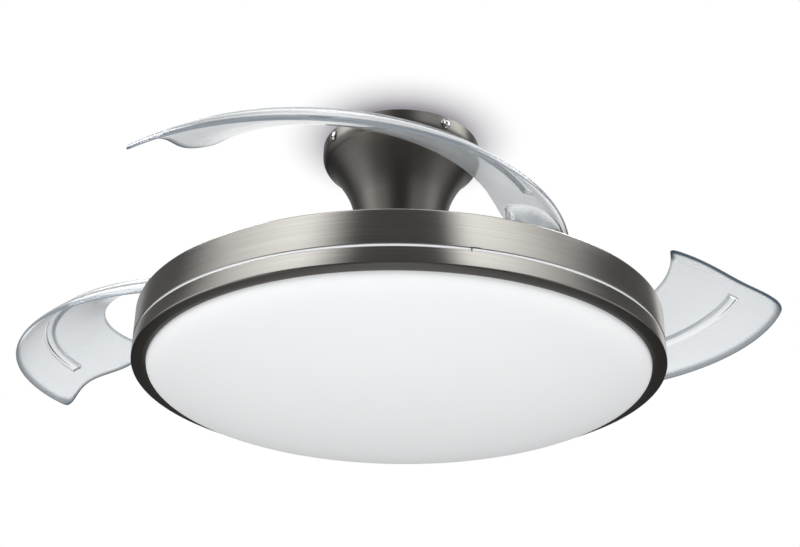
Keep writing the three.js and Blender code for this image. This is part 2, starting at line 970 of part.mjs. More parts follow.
// Where the stop pin stands in the blade frame when the blade is open and when it is closed.
const slotFrom = stopAngle - openAngle;
const slotTo = stopAngle - closedAngle;
const hubScrewAngles = [-1, 1].map((side) => (slotFrom + slotTo) / 2 + 180 + side * hubScrewSpreadAngle);

function hubCutters(bottom, top) {
  const from = bottom - cutOver;
  const to = top + cutOver;
  const cutters = [arcSlot(stopReach, stopRadius + stopPlay, slotFrom, slotTo, from, to)];
  for (const angle of hubScrewAngles) {
    const hole = disc(hubScrewShank + 2 * slipGap, from, to, smallHoleSides);
    cutters.push(turn(at(hole, hubScrewReach, 0), angle));
  }
  return cutters;
}

function blade() {
  const foot = carrierTop + riserFootGap;
  const bore = riserRadius - riserWall;
  const bossHole = postRadius + pivotPlay + hubBossWall + slipGap;
  const half = at(
    block(4 * pivotReach, 4 * pivotReach, -panTopDrop, 0),
    0,
    -2 * pivotReach,
  );
  const keep = toSolid(half).add(toSolid(disc(rootRadius, -panTopDrop, 0)));
  const riser = toSolid(ring(bore, riserRadius, foot, 0)).intersect(toSolid(underBlade(foot - cutOver)));
  let solid = toSolid(bladeSheet()).intersect(keep);
  solid = solid.subtract(toSolid(disc(bore, foot - cutOver, 0))).add(riser);
  solid = solid.add(toSolid(disc(bore + riserWall / 2, padBottom, padTop)));
  const cutters = [
    ...hubCutters(padBottom, padTop),
    disc(bossHole, padBottom - cutOver, padTop + cutOver),
  ];
  for (const cutter of cutters) solid = solid.subtract(toSolid(cutter));
  return fromSolid(solid);
}

function hubPlate() {
  const bore = postRadius + pivotPlay;
  const outline = turned(
    [
      [bore, padTop - hubBossDrop],
      [bore + hubBossWall, padTop - hubBossDrop],
      [bore + hubBossWall, padTop],
      [hubPlateRadius, padTop],
      [hubPlateRadius, hubPlateTop],
      [bore, hubPlateTop],
      [bore, padTop - hubBossDrop],
    ],
    shaftSides,
  );
  return carve([outline], hubCutters(padTop, hubPlateTop));
}

function pivotPost() {
  const head = hubPlateTop + postHead;
  return turned(
    [
      [0, carrierTop],
      [postFlange, carrierTop],
      [postFlange, carrierTop + postFlangeThick],
      [postRadius, carrierTop + postFlangeThick],
      [postRadius, head - postEdge],
      [postRadius - postEdge, head],
      [0, head],
    ],
    wideHoleSides,
  );
}

// Torsion spring round the post, between the carrier and the pad: straight feet, then an even helix.
const springFoot = carrierTop + seatGap;
const springHead = padBottom - seatGap;
const springRise = springCurls * springPitch;
const springCoilFoot = (springFoot + springHead - springRise) / 2;

function helixPoint(angle) {
  return new THREE.Vector3(
    springRadius * Math.cos(angle),
    springRadius * Math.sin(angle),
    springCoilFoot + (angle / TAU) * springPitch,
  );
}

function wireRing(centre, outward, upward) {
  return Array.from({ length: springSides }, (_, k) =>
    centre
      .clone()
      .addScaledVector(outward, (springWire / 2) * Math.cos((k / springSides) * TAU))
      .addScaledVector(upward, (springWire / 2) * Math.sin((k / springSides) * TAU)),
  );
}

function returnSpring() {
  const steps = springCurls * springSteps;
  const rings = [];
  for (let i = 0; i <= steps; i += 1) {
    const angle = (i / steps) * springCurls * TAU;
    const centre = helixPoint(angle);
    const outward = new THREE.Vector3(Math.cos(angle), Math.sin(angle), 0);
    const forward = new THREE.Vector3(-Math.sin(angle), Math.cos(angle), 0);
    if (i > 0 && i < steps) {
      rings.push(wireRing(centre, outward, new THREE.Vector3(0, 0, 1)));
      continue;
    }
    const upright = forward.negate();
    const ends = i === 0 ? [springFoot, springFoot + springEnd] : [springHead - springEnd, springHead];
    for (const z of ends) rings.push(wireRing(centre.clone().setZ(z), outward, upright));
  }
  return tubeThrough(rings);
}

// Least gap between neighbouring curls, measured on points of the wire's centre line.
function springGap() {
  const perCurl = springSteps * springFine;
  const count = springCurls * perCurl;
  let least = Infinity;
  for (let i = 0; i <= count; i += 1) {
    for (let j = i + perCurl / 2; j <= count; j += 1) {
      const from = helixPoint((i / perCurl) * TAU);
      least = Math.min(least, from.distanceTo(helixPoint((j / perCurl) * TAU)));
    }
  }
  return least - springWire;
}
console.log(`return spring: least gap to itself ${springGap().toFixed(2)} mm`);

// A closed tube through a row of rings that all have the same number of points.
function tubeThrough(rings) {
  const sides = rings[0].length;
  const points = rings.flat();
  const index = [];
  for (let i = 0; i < rings.length - 1; i += 1) {
    for (let k = 0; k < sides; k += 1) {
      const a = i * sides + k;
      const b = i * sides + ((k + 1) % sides);
      index.push(a, b, b + sides, a, b + sides, a + sides);
    }
  }
  const last = (rings.length - 1) * sides;
  for (let k = 1; k < sides - 1; k += 1) {
    index.push(0, k + 1, k);
    index.push(last, last + k, last + k + 1);
  }
  return indexed(points, index);
}

pivotAngles.forEach((angle, i) => {
  const station = new THREE.Group();
  station.position.set(pivotReach * Math.cos(rad(angle)), pivotReach * Math.sin(rad(angle)), 0);
  station.rotation.z = rad(angle);
  const swing = new THREE.Group();
  swing.rotation.z = rad(bladeAngles[i]);
  const stopPin = disc(stopRadius, carrierTop, hubPlateTop + stopHead, holeSides);
  const nutFoot = hubPlateTop + seatGap;
  const nut = carve(
    [hexagon(pivotNutAcross, nutFoot, nutFoot + pivotNutHeight)],
    [disc(postRadius + slipGap, nutFoot - cutOver, nutFoot + pivotNutHeight + cutOver, wideHoleSides)],
  );
  station.add(
    piece(`pivot_post_${i + 1}`, 'steel', pivotPost()),
    piece(`pivot_nut_${i + 1}`, 'steel', nut),
    piece(`stop_pin_${i + 1}`, 'steel', turn(at(stopPin, stopReach, 0), stopAngle)),
    piece(`return_spring_${i + 1}`, 'steel', returnSpring()),
  );
  swing.add(piece(`blade_${i + 1}`, 'clear', blade()), piece(`hub_plate_${i + 1}`, 'steel', hubPlate()));
  hubScrewAngles.forEach((screwAngle, k) => {
    const mesh = piece(
      `hub_screw_${i + 1}_${k + 1}`,
      'steel',
      screw(hubScrewHead, hubScrewHeadThick, hubScrewShank, hubScrewLength),
    );
    mesh.position.set(
      hubScrewReach * Math.cos(rad(screwAngle)),
      hubScrewReach * Math.sin(rad(screwAngle)),
      hubPlateTop + seatGap,
    );
    swing.add(mesh);
  });
  station.add(swing);
  rotor.add(station);
});

// ---------------------------------------------------------------- lamp drum

function lampPan() {
  const bore = shaftRadius + slipGap;
  return turned(
    [
      [bore, panUnder],
      [drumRadius - drumWall, panUnder],
      [drumRadius - drumWall, seamTop],
      [drumRadius, seamTop],
      [drumRadius, -panTopDrop - drumEdge],
      [drumRadius - drumEdge, -panTopDrop],
      [bore, -panTopDrop],
      [bore, panUnder],
    ],
    drumSides,
  );
}

function seamRing() {
  const outer = drumRadius - seamRecess;
  const inner = drumRadius - drumWall - seamWidth;
  return turned(
    [
      [inner, seamBottom + seatGap],
      [outer, seamBottom + seatGap],
      [outer, seamTop],
      [drumRadius - drumWall - slipGap, seamTop],
      [drumRadius - drumWall - slipGap, seamTop + seamLip],
      [inner, seamTop + seamLip],
      [inner, seamBottom + seatGap],
    ],
    drumSides,
  );
}

function lockRing() {
  const outline = turned(
    [
      [lockWallRadius - lockWall, seamTop],
      [lockReach, seamTop],
      [lockReach, seamTop + lockFlangeThick],
      [lockWallRadius, seamTop + lockFlangeThick],
      [lockWallRadius, panUnder],
      [lockWallRadius - lockWall, panUnder],
      [lockWallRadius - lockWall, seamTop],
    ],
    drumSides,
  );
  const notches = Array.from({ length: lugCount }, (_, i) =>
    sector(
      coverSkirtInner - lugDepth - lockPlay,
      lockReach + cutOver,
      (i * 360) / lugCount + lugTwistAngle - notchAngle / 2,
      (i * 360) / lugCount + lugTwistAngle + notchAngle / 2,
      seamTop - cutOver,
      seamTop + lockFlangeThick + cutOver,
    ),
  );
  return carve([outline], notches);
}

function trimRing() {
  const skirtTop = seamTop + coverSkirtRise;
  const outline = turned(
    [
      [coverOpening, coverFace + coverLipRise],
      [coverOpening + coverLipWidth, coverFace],
      [drumRadius - coverEdge, coverFace],
      [drumRadius, coverFace + coverEdge],
      [drumRadius, seamBottom],
      [coverSkirtOuter, seamBottom],
      [coverSkirtOuter, skirtTop],
      [coverSkirtInner, skirtTop],
      [coverSkirtInner, coverRest],
      [coverOpening, coverRest],
      [coverOpening, coverFace + coverLipRise],
    ],
    drumSides,
  );
  const lugs = Array.from({ length: lugCount }, (_, i) =>
    sector(
      coverSkirtInner - lugDepth,
      coverSkirtInner + coverSkirtWall / 2,
      (i * 360) / lugCount - lugAngle / 2,
      (i * 360) / lugCount + lugAngle / 2,
      lugFloor,
      lugFloor + lugThick,
    ),
  );
  return carve([outline, ...lugs]);
}

function diffuser() {
  const radius = coverOpening - diffuserGap;
  const rim = coverOpening + diffuserRim;
  const seat = coverRest;
  const dome = (r, sag) =>
    Array.from({ length: diffuserSteps }, (_, i) => {
      const a = (i / diffuserSteps) * (TAU / 4);
      return [r * Math.cos(a), coverFace - sag * Math.sin(a)];
    });
  const outer = dome(radius, diffuserSag);
  const inner = dome(radius - diffuserWall, diffuserSag - diffuserWall).reverse();
  return turned(
    [
      [0, coverFace - diffuserSag],
      ...outer.reverse(),
      [radius, seat],
      [rim, seat],
      [rim, seat + diffuserRimThick],
      [radius - diffuserWall, seat + diffuserRimThick],
      ...inner.reverse(),
      [0, coverFace - diffuserSag + diffuserWall],
    ],
    drumSides,
  );
}

function panCollar() {
  const bore = shaftRadius + slipGap;
  const foot = -panTopDrop;
  return turned(
    [
      [bore, foot],
      [collarRadius, foot],
      [collarRadius, foot + collarHeight],
      [bore + collarNeck, foot + collarHeight],
      [bore + collarNeck, foot + collarHeight + collarNeckRise],
      [bore, foot + collarHeight + collarNeckRise],
      [bore, foot],
    ],
    shaftSides,
  );
}

fixed.add(
  piece('pan_collar', 'steel', panCollar()),
  piece('lamp_pan', 'nickel', lampPan()),
  piece(
    'pan_nut',
    'brass',
    carve(
      [hexagon(nutAcross, panUnder - nutHeight, panUnder)],
      [disc(shaftRadius + slipGap, panUnder - nutHeight - cutOver, panUnder + cutOver)],
    ),
  ),
  piece('seam_ring', 'white', seamRing()),
  piece('lock_ring', 'white', lockRing()),
  piece('led_board', 'white', ring(boardHole, boardRadius, panUnder - boardThick, panUnder, drumSides)),
  piece('led_lens_inner', 'opal', ledLens(innerLensRadius)),
  piece('led_lens_outer', 'opal', ledLens(outerLensRadius)),
  piece(
    'led_driver',
    'white',
    turn(
      at(
        roundedBlock(
          driverWidth,
          driverLength,
          driverCorner,
          panUnder - boardThick - driverHeight,
          panUnder - boardThick,
        ),
        driverReach,
        0,
      ),
      -90,
    ),
  ),
);

function ledLens(radius) {
  const top = panUnder - boardThick;
  return turned(
    [
      [radius - lensWidth / 2, top],
      [radius + lensWidth / 2, top],
      [radius + lensWidth / 2 - lensDraw, top - lensThick],
      [radius - lensWidth / 2 + lensDraw, top - lensThick],
      [radius - lensWidth / 2, top],
    ],
    bellSides,
  );
}

cover.add(piece('trim_ring', 'darkNickel', trimRing()), piece('diffuser', 'opal', diffuser()));

export default fan;
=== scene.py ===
import math
from functools import reduce

import bmesh
import bpy
from mathutils import Euler, Matrix, Vector
from mathutils.geometry import delaunay_2d_cdt


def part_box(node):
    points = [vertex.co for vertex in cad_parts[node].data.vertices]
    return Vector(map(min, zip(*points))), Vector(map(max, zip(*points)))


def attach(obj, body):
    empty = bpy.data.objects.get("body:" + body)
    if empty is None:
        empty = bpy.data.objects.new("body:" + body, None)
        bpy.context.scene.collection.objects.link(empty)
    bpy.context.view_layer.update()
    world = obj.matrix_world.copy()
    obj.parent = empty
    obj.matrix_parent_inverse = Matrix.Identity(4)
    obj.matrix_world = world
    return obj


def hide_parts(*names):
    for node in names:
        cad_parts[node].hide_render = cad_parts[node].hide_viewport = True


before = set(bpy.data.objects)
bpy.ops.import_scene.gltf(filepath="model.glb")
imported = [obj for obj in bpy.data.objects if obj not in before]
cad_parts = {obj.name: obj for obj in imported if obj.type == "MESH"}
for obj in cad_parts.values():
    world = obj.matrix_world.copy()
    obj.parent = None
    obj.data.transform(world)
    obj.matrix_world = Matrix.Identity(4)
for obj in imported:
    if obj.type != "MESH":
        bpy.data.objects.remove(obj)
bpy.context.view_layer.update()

bl_info = {
    "name": "Folding Blade Fan Parts",
    "version": (1, 0, 0),
    "blender": (4, 5, 0),
    "location": "View3D > Sidebar > Fan",
    "description": "Makes the pieces and finishes of a ceiling fan whose blades fold over its lamp",
    "category": "Add Mesh",
}

# Read from the imported parts, in metres: the radii of the bearings' two rings.
INNER_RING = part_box("bearing_inner_upper")[1][0]
OUTER_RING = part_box("bearing_outer_upper")[1][0]

MM = 0.001
TAU = 2 * math.pi
WHITE = (1.0, 1.0, 1.0)

# The blades: body, azimuth of the pivot and opening at rest. The canopy's screws: azimuths. Degrees.
BLADES = (("blade_near", -53.4, 43.0), ("blade_right", 66.6, 44.0), ("blade_left", 186.6, 83.0))
SCREW_AZIMUTHS = tuple(-147.5 + 90 * i for i in range(4))

# The canopy, in millimetres apart from the gap in metres.
NECK_RADIUS = 43.0
SCREW_DOME = 2.4
SCREW_GAP = 0.0003

# The shadow on the ceiling: how far its middle lies behind the fan's axis, the radius where it is
# deepest, the distance over which it fades, all in metres, and how steeply it fades.
HALO_SHIFT = 0.014
HALO_START = 0.071
HALO_REACH = 0.06
HALO_POWER = 1.7

# Heights on a blade from the ceiling, in millimetres: the sheet's outer edge, the riser's lower end,
# and the pad inside the riser that sits on the pivot post, with the radius of its hole.
SHEET_EDGE = -191.0
RISER_FOOT = -203.5
PAD_LOW, PAD_HIGH = -194.0, -191.0
PAD_HOLE = 7.9

# Where a blade's mesh has rows of points: millimetres from a border, and from the rib's middle line.
BORDER_ROWS = (0.0, 0.12, 0.4, 0.9, 1.6, 2.4, 3.4, 4.5)
RIB_ROWS = (-6.6, -5.8, -5.2, -4.8, -4.4, -4.0, -3.6, -3.0, 0.0,
            3.0, 3.6, 4.0, 4.4, 4.8, 5.2, 5.8, 6.6)
HOLE_POINTS = 132


# ---------------------------------------------------------------- sizes and colours

def size(name, default, description, low=0.0, high=2.0):
    return bpy.props.FloatProperty(
        name=name, description=description, default=default, min=low, max=high,
        unit="LENGTH", precision=4)


def height(name, default, description):
    return size(name, default, description, -5.0, 5.0)


def angle(name, degrees, description):
    return bpy.props.FloatProperty(
        name=name, description=description, default=math.radians(degrees), unit="ROTATION")


def amount(name, default, description, high, unit="NONE"):
    return bpy.props.FloatProperty(
        name=name, description=description, default=default, min=0.0, max=high, unit=unit)


def number(name, default, description, low, high):
    return bpy.props.IntProperty(
        name=name, description=description, default=default, min=low, max=high)


def tint(name, default, description):
    return bpy.props.FloatVectorProperty(
        name=name, description=description, default=default, size=3, subtype="COLOR",
        min=0.0, max=1.0)


class FanDrumSettings(bpy.types.PropertyGroup):
    """The lamp drum and the light cover"""
    radius: size("Drum Radius", 0.257, "Radius of the lamp drum")
    pan_top: height("Pan Height", -0.2122, "Height of the top of the drum")
    seam_top: height("Seam Height", -0.244, "Height of the top of the bright seam")
    seam_height: size("Seam Width", 0.0024, "Height of the bright seam")
    seam_recess: size("Seam Recess", 0.0008, "Depth of the bright seam in the band")
    tick_azimuth: angle("Index Azimuth", -77.2, "Direction of the index mark from the axis")
    face: height("Cover Face", -0.262, "Height of the face of the light cover")
    face_width: size("Face Width", 0.014, "Width of the face round the diffuser")
    wall: size("Wall", 0.0016, "Thickness of the drum's sheet")
    sag: size("Dome Sag", 0.036, "Depth of the diffuser's dome")
    segments: number("Segments", 256, "Segments round the drum", 24, 720)


class FanCanopySettings(bpy.types.PropertyGroup):
    """The canopy and its screws"""
    radius: size("Canopy Radius", 0.083, "Radius of the canopy's band")
    band: size("Band Height", 0.0202, "Height of the canopy's band")
    bottom: height("Canopy Bottom", -0.136, "Height of the end of the neck")
    wall: size("Wall", 0.0016, "Thickness of the canopy's sheet")
    screw_head: size("Screw Head", 0.0054, "Radius of a canopy screw's head")
    screw_drop: size("Screw Drop", 0.009, "Distance of the canopy screws below the ceiling")
    segments: number("Segments", 192, "Segments round the canopy", 24, 720)


class FanBladeSettings(bpy.types.PropertyGroup):
    """The three blades, which are alike"""
    pivot_reach: size("Pivot Reach", 0.198, "Distance of a blade's pivot from the drum's axis")
    outer_radius: size("Outer Edge", 0.229, "Radius of a folded blade's outer edge")
    root_inner: size("Root Inner Edge", 0.164, "Radius of the inner edge at the pivot")
    tip_inner: size("Tip Inner Edge", 0.125, "Radius of the inner edge at the tip")
    sweep: angle("Blade Sweep", 118.0, "Angle from the pivot to the tip round the drum's axis")
    thickness: size("Sheet Thickness", 0.003, "Thickness of a blade")
    edge_thickness: size("Edge Thickness", 0.0046, "Thickness of a blade's outer edge")
    riser_radius: size("Riser Radius", 0.025, "Radius of the round foot under a blade")
    riser_wall: size("Riser Wall", 0.0024, "Wall of the round foot")
    step: size("Mesh Step", 0.0028, "Distance between points of a blade's mesh", 0.001)


class FanMotorSettings(bpy.types.PropertyGroup):
    """The motor's shells"""
    radius: size("Motor Radius", 0.08, "Radius of the motor's shells")
    wall: size("Shell Wall", 0.0022, "Wall of the motor's shells")
    top: height("Motor Top", -0.142, "Height of the motor's top")
    split: height("Motor Split", -0.174, "Height where the two shells meet")
    bottom: height("Motor Foot", -0.205, "Height of the motor's foot")
    shaft_hole: size("Shaft Hole", INNER_RING + 0.001, "Radius of the hole round the shaft")
    seat: size("Bearing Seat", OUTER_RING + 0.0002, "Radius of the bearings' seats")
    lip: size("Bearing Lip", OUTER_RING - 0.003, "Radius of the opening in the lower shell")
    seat_depth: size("Seat Depth", 0.0085, "Height of the bearings' seats")
    screw_reach: size("Screw Reach", 0.066, "Distance of the carrier's screws from the axis")


class FanSpringSettings(bpy.types.PropertyGroup):
    """The three return springs"""
    reach: size("Coil Radius", 0.0108, "Radius of the wire's middle line", 0.001, 0.1)
    wire: size("Wire", 0.0016, "Diameter of the wire", 0.0001, 0.01)
    pitch: size("Pitch", 0.0021, "Rise of the wire in one turn", 0.0001, 0.1)
    foot: height("Foot Height", -0.2047, "Height of the lower end")
    head: height("Head Height", -0.1943, "Height of the upper end")
    curls: number("Curls", 3, "Turns of a return spring", 1, 40)


class FanFinishSettings(bpy.types.PropertyGroup):
    """Colours of the finishes"""
    nickel: tint("Nickel", (0.575, 0.555, 0.52), "Brushed nickel of the drum")
    dark_nickel: tint("Dark Nickel", (0.205, 0.197, 0.183), "Darker nickel of canopy and cover")
    steel: tint("Steel", (0.6, 0.61, 0.62), "Plated steel of the inner pieces")
    clear: tint("Clear Plastic", (0.89, 0.94, 0.99), "Body of the clear blades")
    # Painted shade: the dark tint laid along the blades' borders and riser walls, standing in for the
    # dark look that clear edges take from the light.
    clear_edge: tint("Clear Edge", (0.085, 0.115, 0.15), "Edges of the clear blades")
    opal: tint("Opal", (0.93, 0.945, 0.955), "Diffuser of the lamp")
    seam: tint("Seam", (0.9, 0.91, 0.94), "Bright seam of the drum")
    halo: tint("Halo", (0.33, 0.31, 0.345), "Shadow on the ceiling beside the canopy")


class FanStageSettings(bpy.types.PropertyGroup):
    """Camera and light"""
    distance: size("Camera Distance", 1.1029, "Distance of the camera from the fan's axis", 0.2, 5.0)
    height: height("Camera Height", -0.6857, "Height of the camera from the ceiling")
    pitch: angle("Camera Pitch", 26.13, "Upward tilt of the camera")
    roll: angle("Camera Roll", 0.627, "Sideways tilt of the camera")
    lens: amount("Lens", 54.33, "Focal length of the camera", 200.0, "CAMERA")
    ambient: amount("Ambient Light", 0.7, "Strength of the even light from all round", 10.0)
    key: amount("Key Light", 5.0, "Power that the soft lamps share", 1000.0, "POWER")


# ---------------------------------------------------------------- mesh making

def add_mesh(name, verts, faces, sharp=35.0):
    """A smooth mesh object, with its steep edges left sharp."""
    mesh = bpy.data.meshes.new(name)
    mesh.from_pydata(verts, [], faces)
    mesh.validate()
    obj = bpy.data.objects.new(name, mesh)
    bpy.context.scene.collection.objects.link(obj)
    fix_normals(mesh)
    smooth(mesh, sharp)
    return obj


def smooth(mesh, sharp):
    """Shades a mesh smooth, but for edges that turn by more than the sharp angle in degrees."""
    mesh.shade_smooth()
    mesh.set_sharp_from_angle(angle=math.radians(sharp))


def fix_normals(mesh, merge=True):
    """Turns all faces outwards, after points in one place are merged."""
    bm = bmesh.new()
    bm.from_mesh(mesh)
    if merge:
        bmesh.ops.remove_doubles(bm, verts=bm.verts, dist=1e-7)
    bmesh.ops.recalc_face_normals(bm, faces=bm.faces)
    bm.to_mesh(mesh)
    bm.free()


def eased(points, steps):
    """Rounds the corners of a closed line of (radius, height, corner radius) in millimetres."""
    nearly_straight, edge_share = math.pi - 0.02, 0.48
    line = []
    count = len(points)
    for i, (x, y, r) in enumerate(points):
        here = Vector((x, y))
        before = Vector(points[i - 1][:2]) - here
        after = Vector(points[(i + 1) % count][:2]) - here
        rounded = r > 0 and min(before.length, after.length) >= 1e-6
        turn = before.angle(after) if rounded else math.pi
        if turn > nearly_straight:
            line.append((x, y))
            continue
        reach = min(r / math.tan(turn / 2), edge_share * before.length, edge_share * after.length)
        r = reach * math.tan(turn / 2)
        a, b = before.normalized(), after.normalized()
        centre = here + (a + b).normalized() * (r / math.sin(turn / 2))
        start, end = here + a * reach - centre, here + b * reach - centre
        sweep = start.angle_signed(end)
        for k in range(steps + 1):
            arm = start.copy()
            arm.rotate(Matrix.Rotation(-sweep * k / steps, 2))
            p = centre + arm
            line.append((p.x, p.y))
    return line


def lathe(name, points, segments, steps=5, sharp=35.0):
    """A body turned about Z from a closed line in millimetres, with rounded corners."""
    verts, faces, rings = [], [], []
    for x, z in eased(points, steps):
        if x < 1e-4:  # a point on the axis is one vertex for the whole ring
            rings.append([len(verts)] * segments)
            verts.append((0, 0, z * MM))
            continue
        ring = []
        for k in range(segments):
            a = TAU * k / segments
            ring.append(len(verts))
            verts.append((x * MM * math.cos(a), x * MM * math.sin(a), z * MM))
        rings.append(ring)
    for i, low in enumerate(rings):
        high = rings[(i + 1) % len(rings)]
        if low[0] == low[1] and high[0] == high[1]:
            continue
        for k in range(segments):
            n = (k + 1) % segments
            corners = [low[k], low[n], high[n], high[k]]
            face = [c for j, c in enumerate(corners) if c != corners[j - 1]]
            if len(face) > 2:
                faces.append(face)
    return add_mesh(name, verts, faces, sharp)


def drill(radius, low, high):
    """An upright cylinder to cut a hole with, in millimetres."""
    return lathe("drill", [(0, low, 0), (radius, low, 0), (radius, high, 0), (0, high, 0)], 32)


def carve(obj, cutters, sharp):
    """Cuts other objects out of this one and removes them."""
    for cutter in cutters:
        mod = obj.modifiers.new("cut", "BOOLEAN")
        mod.operation = "DIFFERENCE"
        mod.solver = "EXACT"
        mod.object = cutter
    settle(obj, sharp)
    for cutter in cutters:
        bpy.data.objects.remove(cutter)
    return obj


def settle(obj, sharp=35.0):
    """Applies the modifiers of an object to its mesh."""
    bpy.context.view_layer.update()
    graph = bpy.context.evaluated_depsgraph_get()
    mesh = bpy.data.meshes.new_from_object(obj.evaluated_get(graph))
    old = obj.data
    obj.modifiers.clear()
    obj.data = mesh
    mesh.name = obj.name
    bpy.data.meshes.remove(old)
    smooth(mesh, sharp)


def moved(obj, matrix):
    """Moves the mesh of an object, while the object's own place stays at the origin."""
    obj.data.transform(matrix)
    obj.data.update()
    return obj


def station(azimuth, reach):
    """The place at a distance from the fan's axis, turned to face outwards. Azimuth in degrees."""
    return Matrix.Rotation(math.radians(azimuth), 4, "Z") @ Matrix.Translation((reach, 0, 0))


def dress(obj, material, body, slot, *nodes):
    """Gives a piece its finish and its body, and hides the imported parts that it stands for. The
    slot argument is not used.
    """
    obj.data.materials.clear()
    obj.data.materials.append(material)
    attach(obj, body)
    if nodes:
        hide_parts(*nodes)


# ---------------------------------------------------------------- materials

class Shade:
    """Short calls for the nodes of one material or world."""

    def __init__(self, holder):
        holder.use_nodes = True
        self.holder = holder
        self.tree = holder.node_tree
        self.tree.nodes.clear()

    def node(self, kind, **values):
        """A node with its inputs set or linked. A name that is no input sets the node's own value."""
        made = self.tree.nodes.new(kind)
        for key, value in values.items():
            spot = key.replace("_", " ")
            if spot in made.inputs:
                self.put(made.inputs[spot], value)
            else:
                setattr(made, key, value)
        return made

    def put(self, spot, value):
        """Links a socket to an input, or sets the input's own value."""
        if isinstance(value, bpy.types.NodeSocket):
            self.tree.links.new(value, spot)
        elif spot.type == "RGBA" and len(value) == 3:
            spot.default_value = (*value, 1.0)
        else:
            spot.default_value = value

    def maths(self, operation, a, b=0.0, clamp=False):
        made = self.tree.nodes.new("ShaderNodeMath")
        made.operation = operation
        made.use_clamp = clamp
        for spot, value in zip(made.inputs, (a, b)):
            self.put(spot, value)
        return made.outputs[0]

    def total(self, *values):
        return reduce(lambda a, b: self.maths("ADD", a, b), values)

    def product(self, *values):
        return reduce(lambda a, b: self.maths("MULTIPLY", a, b), values)

    def less(self, a, b):
        return self.maths("SUBTRACT", a, b)

    def about(self, value, spread):
        """A value from 0 to 1 turned into one about nought, with the spread between its ends."""
        return self.product(self.less(value, 0.5), spread)

    def wave(self, value, turns):
        """A sine that runs from 0 to 1 and back."""
        return self.product(self.total(self.maths("SINE", self.product(value, turns)), 1.0), 0.5)

    def radius(self, x, y):
        """Distance from the axis."""
        return self.maths("SQRT", self.total(self.product(x, x), self.product(y, y)))

    def step(self, value, low, high, start=0.0, end=1.0):
        """A smooth rise from start to end as value goes from low to high."""
        made = self.tree.nodes.new("ShaderNodeMapRange")
        made.interpolation_type = "SMOOTHSTEP"
        for spot, entry in zip(made.inputs, (value, low, high, start, end)):
            self.put(spot, entry)
        return made.outputs[0]

    def bell(self, value, rise, fall):
        """1 between two slopes, each given by where it starts and ends, and 0 outside them."""
        return self.product(self.step(value, *rise), self.step(value, *fall, 1.0, 0.0))

    def blend(self, factor, a, b):
        """A colour between a and b."""
        made = self.tree.nodes.new("ShaderNodeMix")
        made.data_type = "RGBA"
        spots = [s for s in made.inputs if s.enabled and s.type == "RGBA"]
        self.put(made.inputs["Factor"], factor)
        self.put(spots[0], a)
        self.put(spots[1], b)
        return [s for s in made.outputs if s.enabled and s.type == "RGBA"][0]

    def place(self):
        return self.tree.nodes.new("ShaderNodeTexCoord").outputs["Object"]

    def split(self, vector):
        made = self.tree.nodes.new("ShaderNodeSeparateXYZ")
        self.put(made.inputs[0], vector)
        return made.outputs

    def joined(self, x, y, z):
        made = self.tree.nodes.new("ShaderNodeCombineXYZ")
        for spot, value in zip(made.inputs, (x, y, z)):
            self.put(spot, value)
        return made.outputs[0]

    def noise(self, vector, scale, detail=2.0, roughness=0.5):
        made = self.node("ShaderNodeTexNoise", Vector=vector, Scale=scale, Detail=detail,
                         Roughness=roughness)
        return made.outputs["Fac"]

    def bump(self, height, distance, strength=1.0):
        made = self.node("ShaderNodeBump", Height=height, Distance=distance, Strength=strength)
        return made.outputs["Normal"]

    def layered(self, factor, under, over):
        """One shader laid over another as far as the factor says."""
        made = self.tree.nodes.new("ShaderNodeMixShader")
        for spot, value in zip(made.inputs, (factor, under.outputs[0], over.outputs[0])):
            self.put(spot, value)
        return made.outputs[0]

    def surface(self, **values):
        """Ends the material in one Principled shader, and returns the material."""
        self.output(self.node("ShaderNodeBsdfPrincipled", **values).outputs[0])
        return self.holder

    def output(self, surface, kind="ShaderNodeOutputMaterial"):
        made = self.tree.nodes.new(kind)
        self.tree.links.new(surface, made.inputs["Surface"])


def new_material(name):
    return Shade(bpy.data.materials.new(name))


def toned(colour, factor):
    """A darker or lighter colour."""
    return [min(1.0, c * factor) for c in colour]


def swirl(s):
    """Two level axes, and a third that is radius plus height, for grain that runs round the axis."""
    x, y, z = s.split(s.place())
    return x, y, s.total(s.radius(x, y), z)


def brushed(name, colour, roughness, grain, anisotropic):
    """Metal that was brushed round the axis: fine lines run level, and highlights stand upright."""
    s = new_material(name)
    x, y, climb = swirl(s)

    def streaks(length_scale, width_scale, detail, fineness):
        """Noise that is long round the axis and narrow across it. Scales are per metre."""
        spot = s.joined(s.product(x, length_scale), s.product(y, length_scale),
                        s.product(climb, width_scale))
        return s.noise(spot, 1.0, detail, fineness)

    lines = streaks(14.0, 1700.0, 3.0, 0.6)
    bands = streaks(5.0, 420.0, 2.0, 0.5)
    cloud = s.noise(s.place(), 9.0)
    uneven = s.total(s.about(lines, 0.36 * grain), s.about(bands, 0.14 * grain),
                     s.about(cloud, 0.06))
    tone = s.node("ShaderNodeVectorMath", operation="SCALE", Vector=colour,
                  Scale=s.total(1.0, uneven))
    tangent = s.node("ShaderNodeTangent", direction_type="RADIAL", axis="Z")
    return s.surface(
        Base_Color=tone.outputs[0], Metallic=1.0,
        Roughness=s.total(roughness, s.about(lines, 0.12)),
        Anisotropic=anisotropic, Anisotropic_Rotation=0.25, Tangent=tangent.outputs[0],
        Normal=s.bump(lines, 0.00001, 0.2))


def sheet_metal(name, colour, roughness=0.34):
    """Plated or cast metal with a fine mottle."""
    s = new_material(name)
    fine = s.noise(s.place(), 900.0, 3.0, 0.6)
    wide = s.noise(s.place(), 40.0, 3.0, 0.55)
    tone = s.blend(fine, toned(colour, 0.86), toned(colour, 1.1))
    tone = s.blend(s.product(wide, 0.35), tone, toned(colour, 0.8))
    return s.surface(Base_Color=tone, Metallic=1.0,
                     Roughness=s.total(roughness - 0.06, s.product(wide, 0.14)),
                     Normal=s.bump(fine, 0.00003, 0.3))


